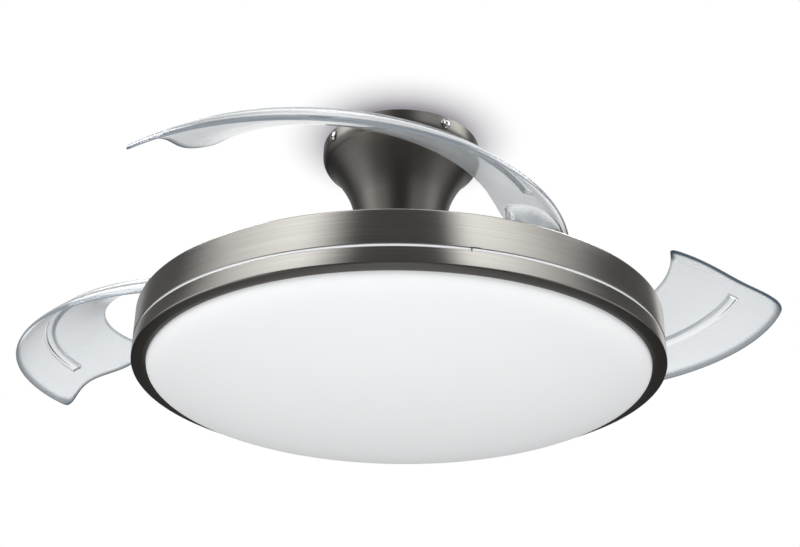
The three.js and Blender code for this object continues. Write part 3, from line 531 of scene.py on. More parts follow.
def moulded(name, colour, roughness, coat=0.0):
    """Moulded plastic with a fine spark texture and a slightly uneven tone."""
    s = new_material(name)
    fine = s.noise(s.place(), 1400.0)
    wide = s.noise(s.place(), 22.0)
    return s.surface(Base_Color=s.blend(wide, toned(colour, 0.96), toned(colour, 1.03)),
                     Roughness=s.total(roughness - 0.04, s.product(fine, 0.08)),
                     Coat_Weight=coat, Coat_Roughness=0.12, Normal=s.bump(fine, 0.00002, 0.25))


def opal_finish(name, colour):
    """Opal plastic that spreads the light: satin, with painted shade that makes it a little deeper
    towards its rim.
    """
    s = new_material(name)
    x, y, _ = s.split(s.place())
    rim = s.step(s.radius(x, y), 0.12, 0.243)  # metres from the axis
    fine = s.noise(s.place(), 700.0)
    wide = s.noise(s.place(), 5.0)
    # Painted shade: the tone darkens a little between 0.12 m and 0.243 m from the axis.
    tone = s.blend(rim, colour, toned(colour, 0.965))
    tone = s.blend(s.product(wide, 0.12), tone, toned(colour, 1.05))
    return s.surface(Base_Color=tone, Roughness=s.total(0.42, s.product(fine, 0.06)),
                     Subsurface_Weight=0.25, Subsurface_Scale=0.01, Subsurface_Radius=WHITE,
                     Normal=s.bump(fine, 0.00001, 0.2))


def clear_finish(name, body, edge):
    """Clear plastic that bends light, with a thin haze, and painted shade along its borders.

    The blades carry three marks. rim is the depth of the painted shade along the borders and the
    riser, rib_across runs from -1 to 1 between the rib's sides, and rib_along rises from 0 at either
    end of the rib. The two rib marks place a painted shade and a painted highlight on the rib's
    sides.
    """
    s = new_material(name)
    facing = s.node("ShaderNodeLayerWeight", Blend=0.5).outputs["Facing"]
    rim, across, along = (s.node("ShaderNodeAttribute", attribute_name=mark).outputs["Fac"]
                          for mark in ("rim", "rib_across", "rib_along"))
    within = s.step(along, -0.3, 0.1)
    # Painted shade along the rib's inner side, and a painted highlight along its outer side, where
    # the glass turns whiter and the haze thins.
    painted_rib_shade = s.product(s.bell(across, (0.15, 0.45), (0.85, 1.1)), within, 0.5)
    painted_rib_highlight = s.product(s.bell(across, (-1.15, -0.9), (-0.6, -0.35)), within)
    # depth is painted shade: it turns the colour to the edge tint along the borders, on the riser and
    # on the rib's inner side.
    depth = s.maths("MAXIMUM", s.maths("POWER", rim, 1.3), painted_rib_shade)
    wide = s.noise(s.place(), 7.0)
    fine = s.noise(s.place(), 260.0)
    glass = s.node(
        "ShaderNodeBsdfPrincipled", IOR=1.38, Transmission_Weight=1.0,
        Base_Color=s.blend(depth, s.blend(painted_rib_highlight, (0.955, 0.975, 0.99), WHITE), edge),
        Roughness=s.total(0.012, s.product(fine, 0.02)))
    film = s.node(
        "ShaderNodeBsdfPrincipled", Roughness=0.12, IOR=1.46, Normal=s.bump(wide, 0.0001, 0.1),
        Base_Color=s.blend(depth, s.blend(wide, toned(body, 0.96), toned(body, 1.04)), edge))
    cover = s.total(s.step(facing, 0.35, 0.9, 0.24, 0.42), s.product(depth, 0.7))
    cover = s.maths("MULTIPLY", cover, s.less(1.0, s.product(painted_rib_highlight, 0.7)), clamp=True)
    s.output(s.layered(cover, glass, film))
    return s.holder


def windings(name, colour):
    """Enamelled wire laid round the core."""
    s = new_material(name)
    climb = swirl(s)[2]
    strands = s.wave(climb, 9000.0)
    uneven = s.noise(s.place(), 160.0)
    tone = s.blend(strands, toned(colour, 0.6), colour)
    tone = s.blend(s.product(uneven, 0.4), tone, toned(colour, 0.5))
    return s.surface(Base_Color=tone, Metallic=0.8, Roughness=0.38, Coat_Weight=0.5,
                     Coat_Roughness=0.15, Normal=s.bump(strands, 0.0006, 0.6))


def laminations(name, colour):
    """Stacked sheets of dark iron, 1 mm thick."""
    s = new_material(name)
    layers = s.wave(s.split(s.place())[2], 6283.0)
    uneven = s.noise(s.place(), 300.0)
    return s.surface(Base_Color=s.blend(layers, toned(colour, 0.55), colour), Metallic=0.7,
                     Roughness=s.total(0.42, s.product(uneven, 0.2)),
                     Normal=s.bump(layers, 0.0002, 0.5))


def circuit_board(name):
    """White board with rows of small light sources round the axis and a faint copper track."""
    s = new_material(name)
    x, y, _ = s.split(s.place())
    row = s.maths("COSINE", s.product(s.radius(x, y), 210.0))
    dots = s.maths("COSINE", s.product(s.maths("ARCTAN2", y, x), 48.0))
    lights = s.product(s.step(row, 0.93, 0.97), s.step(dots, 0.75, 0.85))
    track = s.step(row, -0.99, -0.97, 0.5, 0.0)
    fine = s.noise(s.place(), 500.0)
    tone = s.blend(fine, (0.84, 0.85, 0.84), (0.9, 0.9, 0.89))
    tone = s.blend(track, tone, (0.78, 0.78, 0.72))
    tone = s.blend(lights, tone, (0.86, 0.72, 0.2))
    return s.surface(Base_Color=tone, Roughness=0.4, Normal=s.bump(fine, 0.00002, 0.2))


FINISHES = {}


def finish(name):
    """The finish of that name. All are made on the first call."""
    if not FINISHES:
        c = bpy.context.scene.fan_finish
        FINISHES.update(
            nickel=brushed("nickel_brushed", c.nickel, 0.22, 1.0, 0.8),
            dark_nickel=brushed("nickel_dark", c.dark_nickel, 0.42, 0.7, 0.6),
            steel=sheet_metal("steel_plated", c.steel),
            spring=sheet_metal("steel_spring", (0.36, 0.36, 0.38), 0.3),
            chrome=sheet_metal("chrome", (0.78, 0.79, 0.8), 0.14),
            # recess: dark chrome that paints shade into the screws' cross recesses, and colours the
            # index mark.
            recess=sheet_metal("chrome_painted_shade_and_mark", (0.16, 0.165, 0.18), 0.5),
            brass=sheet_metal("brass_turned", (0.6, 0.44, 0.2), 0.32),
            clear=clear_finish("blade_clear", c.clear, c.clear_edge),
            opal=opal_finish("diffuser_opal", c.opal),
            lens=moulded("lens_opal", (0.82, 0.84, 0.86), 0.25, 0.5),
            white=moulded("white_moulded", (0.8, 0.8, 0.79), 0.5),
            seam=moulded("seam_white", c.seam, 0.3, 0.4),
            grey=moulded("grey_moulded", (0.16, 0.17, 0.18), 0.45),
            copper=windings("copper_windings", (0.62, 0.26, 0.09)),
            iron=laminations("iron_stack", (0.12, 0.125, 0.135)),
            board=circuit_board("lamp_board"),
        )
    return FINISHES[name]


# The nodes that are shown as packed, by their finish.
CARRIED = {
    "steel": ("mounting_plate", "hanger_cup", "hanger_shaft", "clevis_pin", "pan_collar",
              "bearing_inner_upper", "bearing_inner_lower", "bearing_outer_upper",
              "bearing_outer_lower",
              *(piece.format(index) for index in (1, 2, 3) for piece in (
                  "carrier_screw_{}", "pivot_post_{}", "pivot_nut_{}", "stop_pin_{}",
                  "hub_plate_{}", "hub_screw_{}_1", "hub_screw_{}_2"))),
    "white": ("receiver", "lock_ring", "led_driver"),
    "grey": ("terminal_block",),
    "iron": ("stator_core", "magnet_ring"),
    "copper": ("coil_ring_upper", "coil_ring_lower"),
    "dark_nickel": ("blade_carrier",),
    "brass": ("pan_nut",),
    "board": ("led_board",),
    "lens": ("led_lens_inner", "led_lens_outer"),
}


# ---------------------------------------------------------------- the stage

def add_camera(stage):
    data = bpy.data.cameras.new("camera")
    data.sensor_width = 36.0
    data.lens = stage.lens
    camera = bpy.data.objects.new("camera", data)
    camera.location = (0.0, -stage.distance, stage.height)
    upright = Euler((math.pi / 2 + stage.pitch, 0.0, 0.0)).to_matrix()
    camera.rotation_euler = (upright @ Matrix.Rotation(stage.roll, 3, "Z")).to_euler()
    bpy.context.scene.collection.objects.link(camera)
    bpy.context.scene.camera = camera


def add_lamp(name, place, aim, width, height, watts, mirrored):
    data = bpy.data.lights.new(name, "AREA")
    data.shape = "RECTANGLE"
    data.size, data.size_y = width, height
    data.energy = watts
    lamp = bpy.data.objects.new(name, data)
    lamp.location = place
    lamp.rotation_euler = (Vector(aim) - Vector(place)).to_track_quat("-Z", "Y").to_euler()
    lamp.visible_camera = False
    lamp.visible_transmission = False
    lamp.visible_glossy = mirrored
    bpy.context.scene.collection.objects.link(lamp)


def strip(s, azimuth, middle, half, soft):
    """1 inside an upright strip of the room round the fan, 0 outside it. Angles in degrees."""
    away = s.maths("ABSOLUTE", s.less(azimuth, math.radians(middle)))
    return s.step(away, math.radians(half - soft), math.radians(half + soft), 1.0, 0.0)


def slope(s, azimuth, start, full, end):
    """An upright strip with an edge from start to full, that fades out slowly from there to end."""
    side = 1.0 if full > start else -1.0
    start, full, end = (math.radians(side * corner) for corner in (start, full, end))
    return s.bell(s.product(azimuth, side), (start, full), (full, end))


def add_room(stage):
    """White behind the fan, with tall soft boxes and darker walls for what metal reflects."""
    world = bpy.data.worlds.new("room")
    bpy.context.scene.world = world
    s = Shade(world)
    x, y, z = s.split(s.tree.nodes.new("ShaderNodeTexCoord").outputs["Generated"])
    azimuth = s.maths("ARCTAN2", x, s.product(y, -1.0))
    behind = s.maths("ABSOLUTE", azimuth)

    # Azimuths in degrees, 0 towards the camera. The last number of each row is its brightness.
    boxes = ((-16, -42, -108, 1.35), (16, 30, 96, 1.3))
    strips = ((azimuth, -150, 8, 7, 0.3), (azimuth, 150, 8, 7, 0.7), (behind, 182, 20, 7, 0.95))
    low_strips = ((azimuth, -87, 26, 16, 0.62), (azimuth, 87, 26, 16, 0.36))
    walls = s.total(0.08, s.step(y, 0.2, 0.9, 0.0, 0.05))
    upper = s.total(*(s.product(slope(s, azimuth, *row[:-1]), row[-1]) for row in boxes),
                    *(s.product(strip(s, *row[:-1]), row[-1]) for row in strips), walls)
    glow = s.product(s.step(s.product(z, -1.0), 0.42, 0.85),
                     s.step(s.maths("ABSOLUTE", x), 0.06, 0.3, 0.62, 0.0))
    lower = s.total(*(s.product(strip(s, *row[:-1]), row[-1]) for row in low_strips), 0.045, glow)
    mirror = s.blend(s.step(z, 0.05, 0.3), s.joined(lower, lower, lower),
                     s.joined(upper, upper, upper))

    # What the metal mirrors stays the same where it is seen through a blade.
    rays = s.tree.nodes.new("ShaderNodeLightPath").outputs
    mirrored = s.maths("GREATER_THAN", rays["Glossy Depth"], 0.5)
    white = s.product(s.maths("MAXIMUM", rays["Is Camera Ray"], rays["Is Transmission Ray"]),
                      s.less(1.0, mirrored))
    glossy = s.maths("MAXIMUM", rays["Is Glossy Ray"], mirrored)
    level = s.blend(glossy, [stage.ambient] * 3, mirror)
    light = s.node("ShaderNodeBackground", Color=s.blend(white, level, WHITE), Strength=1.0)
    s.output(light.outputs[0], "ShaderNodeOutputWorld")


def disc(radius, rings, segments):
    """Points and faces of a flat disc that faces down."""
    verts, faces = [(0, 0, 0)], []
    for i in range(1, rings + 1):
        for k in range(segments):
            a = TAU * k / segments
            verts.append((radius * i / rings * math.cos(a), radius * i / rings * math.sin(a), 0.0))
    for k in range(segments):
        n = (k + 1) % segments
        faces.append((0, 1 + n, 1 + k))
        for i in range(rings - 1):
            a, b = 1 + i * segments, 1 + (i + 1) * segments
            faces.append((a + k, a + n, b + n, b + k))
    return verts, faces


def add_ceiling(halo):
    """The patch of ceiling over the canopy, with its shadow. It shows from below only."""
    verts, faces = disc(radius=0.16, rings=12, segments=96)
    mesh = bpy.data.meshes.new("ceiling_patch")
    mesh.from_pydata(verts, [], faces)
    patch = bpy.data.objects.new("ceiling_patch", mesh)
    patch.location = (0, 0, 0.0004)
    bpy.context.scene.collection.objects.link(patch)
    s = new_material("ceiling_shadow")
    x, y, _ = s.split(s.place())
    away = s.less(s.radius(x, s.total(y, HALO_SHIFT)), HALO_START)
    near = s.less(1.0, s.maths("DIVIDE", away, HALO_REACH))
    fade = s.maths("POWER", s.maths("MAXIMUM", near, 0.0), HALO_POWER)
    shadow = s.node("ShaderNodeEmission", Color=s.blend(fade, WHITE, halo))
    bare = s.node("ShaderNodeBsdfTransparent")
    rays = s.tree.nodes.new("ShaderNodeLightPath").outputs
    above = s.tree.nodes.new("ShaderNodeNewGeometry").outputs["Backfacing"]
    seen = s.product(s.maths("MAXIMUM", rays["Is Camera Ray"], rays["Is Transmission Ray"]),
                     s.maths("GREATER_THAN", fade, 0.001), s.less(1.0, above))
    s.output(s.layered(seen, bare, shadow))
    mesh.materials.append(s.holder)


class FAN_OT_stage(bpy.types.Operator):
    """Adds the camera, the lamps, the room and the patch of ceiling"""
    bl_idname = "fan.stage"
    bl_label = "Stage"

    def execute(self, context):
        stage = context.scene.fan_stage
        context.scene.view_settings.view_transform = "Standard"
        add_camera(stage)
        add_room(stage)
        add_ceiling(context.scene.fan_finish.halo)
        # Name, place, aim, width, height, share of the key light, and whether metal mirrors it.
        lamps = (
            ("lamp_front", (0.0, -1.4, -1.6), (0, 0, -0.25), 1.6, 1.2, 3.2, False),
            ("lamp_left", (-1.5, -0.6, -0.2), (0, 0, -0.2), 0.7, 1.2, 1.2, False),
            ("lamp_right", (1.5, -0.6, -0.1), (0, 0, -0.2), 0.7, 1.2, 0.9, False),
            ("lamp_back", (0.0, 1.6, 1.2), (0, 0, -0.2), 1.6, 1.0, 3.0, False),
            ("lamp_canopy_left", (-0.5, -0.07, 0.3), (-0.06, -0.05, -0.01), 0.3, 0.3, 0.25, True),
            ("lamp_canopy_right", (0.5, -0.07, 0.3), (0.06, -0.05, -0.01), 0.3, 0.3, 0.25, True),
        )
        for name, place, aim, width, height, share, mirrored in lamps:
            add_lamp(name, place, aim, width, height, share * stage.key, mirrored)
        return {"FINISHED"}


# ---------------------------------------------------------------- the canopy

def bell_line(c):
    """Outer line of the canopy from its crease to its neck, in millimetres: a curve through knots."""
    r = c.radius / MM
    band = c.band / MM
    knots = [(r - 5.3, -band - 0.4), (r - 13.5, -30.0), (59.0, -47.0), (51.2, -66.0),
             (NECK_RADIUS, -100.0)]
    count = 40
    line = []
    for i in range(count + 1):
        t = i / count * (len(knots) - 1)
        k = min(int(t), len(knots) - 2)
        w = t - k
        p = [knots[max(k - 1, 0)], knots[k], knots[k + 1], knots[min(k + 2, len(knots) - 1)]]
        line.append(tuple(
            0.5 * (2 * p[1][j] + (p[2][j] - p[0][j]) * w
                   + (2 * p[0][j] - 5 * p[1][j] + 4 * p[2][j] - p[3][j]) * w * w
                   + (3 * p[1][j] - p[0][j] - 3 * p[2][j] + p[3][j]) * w ** 3)
            for j in (0, 1)))
    return line


def set_in_canopy(obj, c, gap, azimuth):
    """Turns an upright piece outwards and moves it to a screw's place in the canopy's band."""
    moved(obj, Matrix.Rotation(math.pi / 2, 4, "Y"))
    moved(obj, Matrix.Translation((c.radius + gap, 0, -c.screw_drop)))
    return moved(obj, Matrix.Rotation(math.radians(azimuth), 4, "Z"))


class FAN_OT_canopy(bpy.types.Operator):
    """Adds the canopy: a band with screw holes, a crease, a round shoulder and a flare to the neck"""
    bl_idname = "fan.canopy"
    bl_label = "Canopy"

    def execute(self, context):
        c = context.scene.fan_canopy
        r, wall, end = c.radius / MM, c.wall / MM, c.bottom / MM
        bell = bell_line(c)
        turned_in = [(-11.0, 0.0), (-13.5, 0.28), (-16.0, 1.1), (-18.2, 2.45), (-c.band / MM, 4.6)]

        def side(depth):
            """The shell's line at a depth under its outer face."""
            line = [(r - depth, -0.6, 0.5)] + [(r - depth - draw, z, 0) for z, draw in turned_in]
            return line + [(x - depth, z, 0) for x, z in bell] + [(NECK_RADIUS - depth, end, 0.6)]

        obj = lathe("canopy_shell", side(0) + side(wall)[::-1], c.segments, 4, 28.0)
        carve(obj, [set_in_canopy(drill(2.4, -6, 6), c, 0, azimuth)
                    for azimuth in SCREW_AZIMUTHS], 28.0)
        dress(obj, finish("dark_nickel"), "base", "dark_nickel", "canopy")
        return {"FINISHED"}


def cross_screw(name, head):
    """A round headed screw along -Z with a cross recess, its seat at the origin, in millimetres."""
    dome, shank, length, cross = SCREW_DOME, 2.0, 9.0, 3.0
    pitch, depth = 0.7, 0.28
    line = [(0, -length, 0), (shank - depth - 0.3, -length, 0)]
    for k in range(int((length - 1.6) / pitch)):
        z = -length + 1.0 + k * pitch
        line += [(shank - depth, z, 0), (shank, z + pitch / 2, 0)]
    line += [(shank, -0.3, 0), (shank, 0, 0), (head - 0.15, 0, 0), (head, 0.25, 0)]
    line += [(head * math.cos(a), max(dome * math.sin(a), 0.3), 0)
             for a in (math.pi / 2 * k / 12 for k in range(1, 12))]
    obj = lathe(name, line + [(0, dome, 0)], 64, 3, 40.0)
    cutters = []
    low, top, taper = dome - 2.1, dome + 1.0, 0.6
    for turn in (0, math.pi / 2):
        verts = [(sx * cross * share, sy * cross * 0.24 * share, z)
                 for z, share in ((low, taper), (top, 1))
                 for sx, sy in ((-1, -1), (1, -1), (1, 1), (-1, 1))]
        faces = [(3, 2, 1, 0), (4, 5, 6, 7)]
        faces += [(i, (i + 1) % 4, 4 + (i + 1) % 4, 4 + i) for i in range(4)]
        bar = add_mesh("bar", [tuple(v * MM for v in p) for p in verts], faces)
        cutters.append(moved(bar, Matrix.Rotation(turn, 4, "Z")))
    return carve(obj, cutters, 40.0)


class FAN_OT_canopy_screws(bpy.types.Operator):
    """Adds the four cross-head screws that hold the canopy"""
    bl_idname = "fan.canopy_screws"
    bl_label = "Canopy Screws"

    def execute(self, context):
        c = context.scene.fan_canopy
        head = c.screw_head / MM
        for i, azimuth in enumerate(SCREW_AZIMUTHS):
            obj = moved(cross_screw(f"cross_screw_{i + 1}", head),
                        Matrix.Rotation(math.radians(20 + 31 * i), 4, "Z"))
            set_in_canopy(obj, c, SCREW_GAP, azimuth)
            dress(obj, finish("chrome"), "base", "chrome", f"canopy_screw_{i + 1}")
            # The faces inside the cross recess take the dark finish: painted shade.
            obj.data.materials.append(finish("recess"))
            axle = Matrix.Rotation(math.radians(azimuth), 3, "Z") @ Vector((1, 0, 0))
            seat = axle * (c.radius + SCREW_GAP) + Vector((0, 0, -c.screw_drop))
            for polygon in obj.data.polygons:
                off = polygon.center - seat
                lift = off.dot(axle) / MM
                spread = (off - axle * off.dot(axle)).length / MM
                skin = SCREW_DOME * math.sqrt(max(0.0, 1 - (spread / head) ** 2))
                polygon.material_index = 1 if 0.2 < lift < skin - 0.25 and spread < 3.1 else 0
        return {"FINISHED"}


# ---------------------------------------------------------------- the lamp drum

class FAN_OT_drum(bpy.types.Operator):
    """Adds the drum's pan, the bright seam with its index tick, and the light cover's ring"""
    bl_idname = "fan.drum"
    bl_label = "Lamp Drum"

    def tick(self, d):
        """A line beside the seam, and a short stem from its end down across the seam."""
        r = d.radius / MM + 0.06
        seam = d.seam_top / MM
        stations = 13
        # Name, shift of the middle along the band, half length, top and foot, in millimetres.
        for name, shift, half, top, foot in (("index_bar", 3.6, 4.2, seam + 0.9, seam + 0.35),
                                             ("index_stem", 0.0, 0.4, seam + 0.6, seam - 3.6)):
            verts, faces = [], []
            for k in range(stations):
                a = d.tick_azimuth + shift / r + (k / (stations - 1) * 2 - 1) * half / r
                verts += [(reach * MM * math.cos(a), reach * MM * math.sin(a), z * MM)
                          for reach in (r - 0.6, r) for z in (foot, top)]
            for b in range(0, 4 * (stations - 1), 4):
                faces += [(b, b + 4, b + 5, b + 1), (b + 2, b + 3, b + 7, b + 6),
                          (b, b + 2, b + 6, b + 4), (b + 1, b + 5, b + 7, b + 3)]
            last = 4 * (stations - 1)
            faces += [(0, 1, 3, 2), (last, last + 2, last + 3, last + 1)]
            mark = add_mesh(name, verts, faces)
            bevel = mark.modifiers.new("soft", "BEVEL")
            bevel.width, bevel.segments = 0.00012, 2
            settle(mark)
            # The index mark is drawn in the same dark finish as the painted shade in the screws'
            # recesses.
            dress(mark, finish("recess"), "base", "nickel")

    def execute(self, context):
        d = context.scene.fan_drum
        self.tick(d)
        r, wall, top = d.radius / MM, d.wall / MM, d.pan_top / MM
        seam, face = d.seam_top / MM, d.face / MM
        low = seam - d.seam_height / MM
        collar_hole = 11.2
        pan = lathe("drum_pan", [
            (collar_hole, top - 1.2, 0.2), (r - wall, top - 1.2, 1.0), (r - wall, seam, 0.3),
            (r, seam, 0.45), (r, top, 1.8), (collar_hole, top, 0.3)], d.segments, 6, 30.0)
        dress(pan, finish("nickel"), "base", "nickel", "lamp_pan")
        outer, inner = r - d.seam_recess / MM, r - wall - 2.8
        ring = lathe("seam_band", [
            (inner, low + 0.3, 0.2), (outer, low + 0.3, 0.5), (outer, seam, 0.3),
            (r - wall - 0.2, seam, 0), (r - wall - 0.2, seam + 4.0, 0.3),
            (inner, seam + 4.0, 0.3)], d.segments, 4, 30.0)
        dress(ring, finish("seam"), "base", "white", "seam_ring")
        skirt, hole = inner - 1.2, r - d.face_width / MM
        cover = lathe("cover_ring", [
            (hole, face + 0.8, 0.4), (hole + 4.0, face, 1.2), (r, face, 2.2), (r, low, 0.45),
            (skirt, low, 0.2), (skirt, seam + 6.4, 0.4), (skirt - 1.8, seam + 6.4, 0.4),
            (skirt - 1.8, face + 1.6, 0.3), (hole, face + 1.6, 0.3)], d.segments, 6, 30.0)
        dress(cover, finish("nickel"), "light_cover", "nickel", "trim_ring")
        # Nickel on the cover's outer side, dark nickel on its face and inside: painted shade, a
        # darker copy of the nickel on the faces that turn down or inwards.
        cover.data.materials.append(finish("dark_nickel"))
        for polygon in cover.data.polygons:
            x, y, z = polygon.normal
            outward = x * polygon.center.x + y * polygon.center.y > 0
            polygon.material_index = 0 if z > -0.55 and outward else 1
        return {"FINISHED"}


class FAN_OT_diffuser(bpy.types.Operator):
    """Adds the opal dome"""
    bl_idname = "fan.diffuser"
    bl_label = "Diffuser"

    def execute(self, context):
        d = context.scene.fan_drum
        face, sag = d.face / MM, d.sag / MM
        hole = d.radius / MM - d.face_width / MM
        reach, wall, seat, flange = hole - 0.4, 2.2, face + 1.6, hole + 5.0
        count = 36

        def dome(width, depth):
            """The lower quarter of an ellipse, from its widest place almost to the axis."""
            return [(width * math.cos(a), face - depth * math.sin(a), 0)
                    for a in (math.pi / 2 * k / count for k in range(count))]

        line = dome(reach, sag) + [(0, face - sag, 0), (0, face - sag + wall, 0)]
        line += dome(reach - wall, sag - wall)[::-1]
        line += [(reach - wall, seat + 2.4, 0.4), (flange, seat + 2.4, 0.5), (flange, seat, 0.5),
                 (reach, seat, 0.2)]
        obj = lathe("diffuser_dome", line, d.segments, 4, 30.0)
        dress(obj, finish("opal"), "light_cover", "opal", "diffuser")
        return {"FINISHED"}


# ---------------------------------------------------------------- the blades

def mix(a, b, t):
    """From a to b as t goes from 0 to 1."""
    return a + (b - a) * t


class BladeForm:
    """The surface of one blade in millimetres, with its pivot at the origin.

    A place on it is given along, in degrees round the drum's axis from the pivot, and across, as a
    share of the way from the outer edge to the inner one.
    """

    RISE = (41.0, 63.0)  # of the inner edge over the outer one, at the pivot and at the tip
    CAMBER = 8.0
    RIB_PLACE = 0.36
    RIB_HALF = 5.0
    RIB_HEIGHT = 3.2
    RIB_ENDS = (0.12, 0.9)
    MEAN_RADIUS = 200.0

    def __init__(self, b):
        self.pivot = b.pivot_reach / MM
        self.outer = b.outer_radius / MM
        self.root, self.tip = b.root_inner / MM, b.tip_inner / MM
        self.sweep = math.degrees(b.sweep)
        self.half = b.thickness / MM / 2
        self.edge_half = b.edge_thickness / MM / 2
        self.riser = b.riser_radius / MM
        self.bore = self.riser - b.riser_wall / MM
        self.rib_start, self.rib_stop = (share * self.sweep for share in self.RIB_ENDS)

    def inner(self, along):
        """Radius of the inner edge."""
        return mix(self.root, self.tip, along / self.sweep)

    def end(self, across):
        """Where the wavy tip ends."""
        radius = mix(self.outer, self.tip, across)
        wave = -8.0 * math.sin(TAU * across) - 3.0 * math.sin(math.pi * across)
        return self.sweep + 3.5 * across + math.degrees(wave / radius)

    def flat(self, along, across):
        """The place seen from above."""
        r = mix(self.outer, self.inner(along), across)
        a = math.radians(along)
        return Vector((r * math.cos(a) - self.pivot, -r * math.sin(a)))

    def locate(self, x, y):
        """Along and across, for a place seen from above."""
        along = math.degrees(math.atan2(-y, x + self.pivot))
        r = math.hypot(x + self.pivot, y)
        return along, (self.outer - r) / (self.outer - self.inner(along))

    def from_rib(self, along, across):
        """Distance from the rib's middle line, positive towards the inner edge."""
        return (across - self.RIB_PLACE) * (self.outer - self.inner(along))

    def from_ends(self, along):
        """Distance from the nearer end of the rib, positive on the rib."""
        ends = min(along - self.rib_start, self.rib_stop - along)
        return ends * math.radians(1) * self.MEAN_RADIUS

    def middle(self, along, across):
        """Height of the sheet's middle without its rib."""
        t = min(max(across, -0.1), 1.1)
        share = max(t, 0.0)
        camber = self.CAMBER * share * (1 - share) ** 3 / (0.25 * 0.75 ** 3) if share < 1 else 0.0
        return SHEET_EDGE + mix(*self.RISE, along / self.sweep) * t + camber

    def rib(self, along, across):
        """Height of the rib over the sheet."""
        near = min(self.RIB_HALF - abs(self.from_rib(along, across)), self.from_ends(along))
        t = min(max(near / 1.3 + 0.15, 0.0), 1.0)
        return self.RIB_HEIGHT * t * t * (3 - 2 * t)

    def marks(self, along, across, far):
        """Depth of the painted shade along the border, and places across and along the rib, for the
        clear finish.
        """
        tip = min(max((along - self.sweep + 7.0) / 5.0, 0.0), 1.0)
        outer = min(max((0.12 - across) / 0.06, 0.0), 1.0)
        strength = max(0.5 + 0.5 * tip, 0.8 * outer)
        rim = strength * min(max(1.4 - far / (1.7 + 2.6 * tip + 0.9 * outer), 0.0), 1.0)
        return rim, *(min(max(mark / self.RIB_HALF, -2.0), 2.0)
                      for mark in (self.from_rib(along, across), self.from_ends(along)))

    def thick(self, across):
        """Half the thickness, which grows towards the outer edge."""
        edge = max(0.0, 1.0 - across / 0.08)
        return mix(self.half, self.edge_half, edge * edge * (3 - 2 * edge))

    def outline(self):
        """The sheet's border seen from above, with round corners, at even steps."""
        root = 32.0
        line = [self.flat(along, 0) for along in range(2, int(self.sweep) - 1)]
        line += [self.flat(self.end(t / 60), t / 60) for t in range(61)]
        line += [self.flat(along, 1) for along in range(int(self.sweep), 3, -1)]
        line += [Vector((root * math.cos(a), root * math.sin(a)))
                 for a in (math.radians(d) for d in range(176, 4, -3))]
        line = softened(resampled(line, 1.0), 3.0)
        # The tip's outer and inner corners are rounder than the rest.
        for across, reach, within in ((0, 9.0, 40.0), (1, 5.0, 22.0)):
            corner = self.flat(self.end(across), across)
            line = softened(line, reach, lambda p: max(0.0, 1.0 - (p - corner).length / within))
        return resampled(line, 1.3)


def resampled(line, gap):
    """A closed line with points at even steps."""
    total = [0.0]
    for i, p in enumerate(line):
        total.append(total[-1] + (line[(i + 1) % len(line)] - p).length)
    count = max(8, int(total[-1] / gap))
    made, k = [], 0
    for i in range(count):
        reach = total[-1] * i / count
        while total[k + 1] < reach:
            k += 1
        span = max(total[k + 1] - total[k], 1e-9)
        made.append(line[k].lerp(line[(k + 1) % len(line)], (reach - total[k]) / span))
    return made


def softened(line, reach, where=lambda p: 1.0):
    """A closed line of 1 mm steps, averaged over a reach in millimetres."""
    count = len(line)
    span = int(reach * 2)
    weights = [math.exp(-0.5 * (k / reach) ** 2) for k in range(-span, span + 1)]
    whole = sum(weights)
    made = []
    for i, p in enumerate(line):
        share = where(p)
        if share <= 0:
            made.append(p)
            continue
        mean = Vector((0.0, 0.0))
        for k, w in zip(range(-span, span + 1), weights):
            mean += line[(i + k) % count] * (w / whole)
        made.append(p.lerp(mean, share))
    return made


def inset(line, depth):
    """A closed line moved inwards, whichever way round it runs."""
    count = len(line)
    area = sum(line[i].cross(line[(i + 1) % count]) for i in range(count))
    side = 1.0 if area > 0 else -1.0
    made = []
    for i, p in enumerate(line):
        ahead = (line[(i + 1) % count] - line[i - 1]).normalized()
        made.append(p + Vector((-ahead.y, ahead.x)) * side * depth)
    return made


def circle(radius, count):
    """Points round the pivot."""
    return [Vector((radius * math.cos(TAU * k / count), radius * math.sin(TAU * k / count)))
            for k in range(count)]


class Border:
    """Distances from a closed line, found quickly through a grid of its points."""

    CELL = 6.0

    def __init__(self, line):
        self.line, self.grid = line, {}
        for i, p in enumerate(line):
            self.grid.setdefault((int(p.x // self.CELL), int(p.y // self.CELL)), []).append(i)

    def near(self, x, y):
        """Distance to the line, or the cell size if it is farther."""
        cx, cy = int(x // self.CELL), int(y // self.CELL)
        best, closest = self.CELL, None
        for i in range(cx - 1, cx + 2):
            for j in range(cy - 1, cy + 2):
                for k in self.grid.get((i, j), ()):
                    p = self.line[k]
                    reach = math.hypot(p.x - x, p.y - y)
                    if reach < best:
                        best, closest = reach, k
        if closest is None:
            return best
        here = Vector((x, y))
        for k in (closest - 1, closest):
            p, q = self.line[k], self.line[(k + 1) % len(self.line)]
            span = q - p
            t = min(max((here - p).dot(span) / span.length_squared, 0.0), 1.0)
            best = min(best, (p + span * t - here).length)
        return best


def inside(line, x, y):
    """Whether a place is inside a closed line."""
    hit = False
    for i, p in enumerate(line):
        q = line[i - 1]
        if (p.y > y) != (q.y > y) and x < (q.x - p.x) * (y - p.y) / (q.y - p.y) + p.x:
            hit = not hit
    return hit


def rib_points(form, border, hole):
    """Rows of points across the rib, closest together at its ends."""
    points = []
    along = form.rib_start - 1.2
    while along < form.rib_stop + 1.2:
        chord = form.outer - form.inner(along)
        for offset in RIB_ROWS:
            p = form.flat(along, form.RIB_PLACE + offset / chord)
            if border.near(p.x, p.y) > 5.2 and p.length > hole + 5.2:
                points.append(p)
        at_end = min(abs(along - form.rib_start), abs(along - form.rib_stop)) < 1.2
        along += 0.25 if at_end else 0.6
    return points


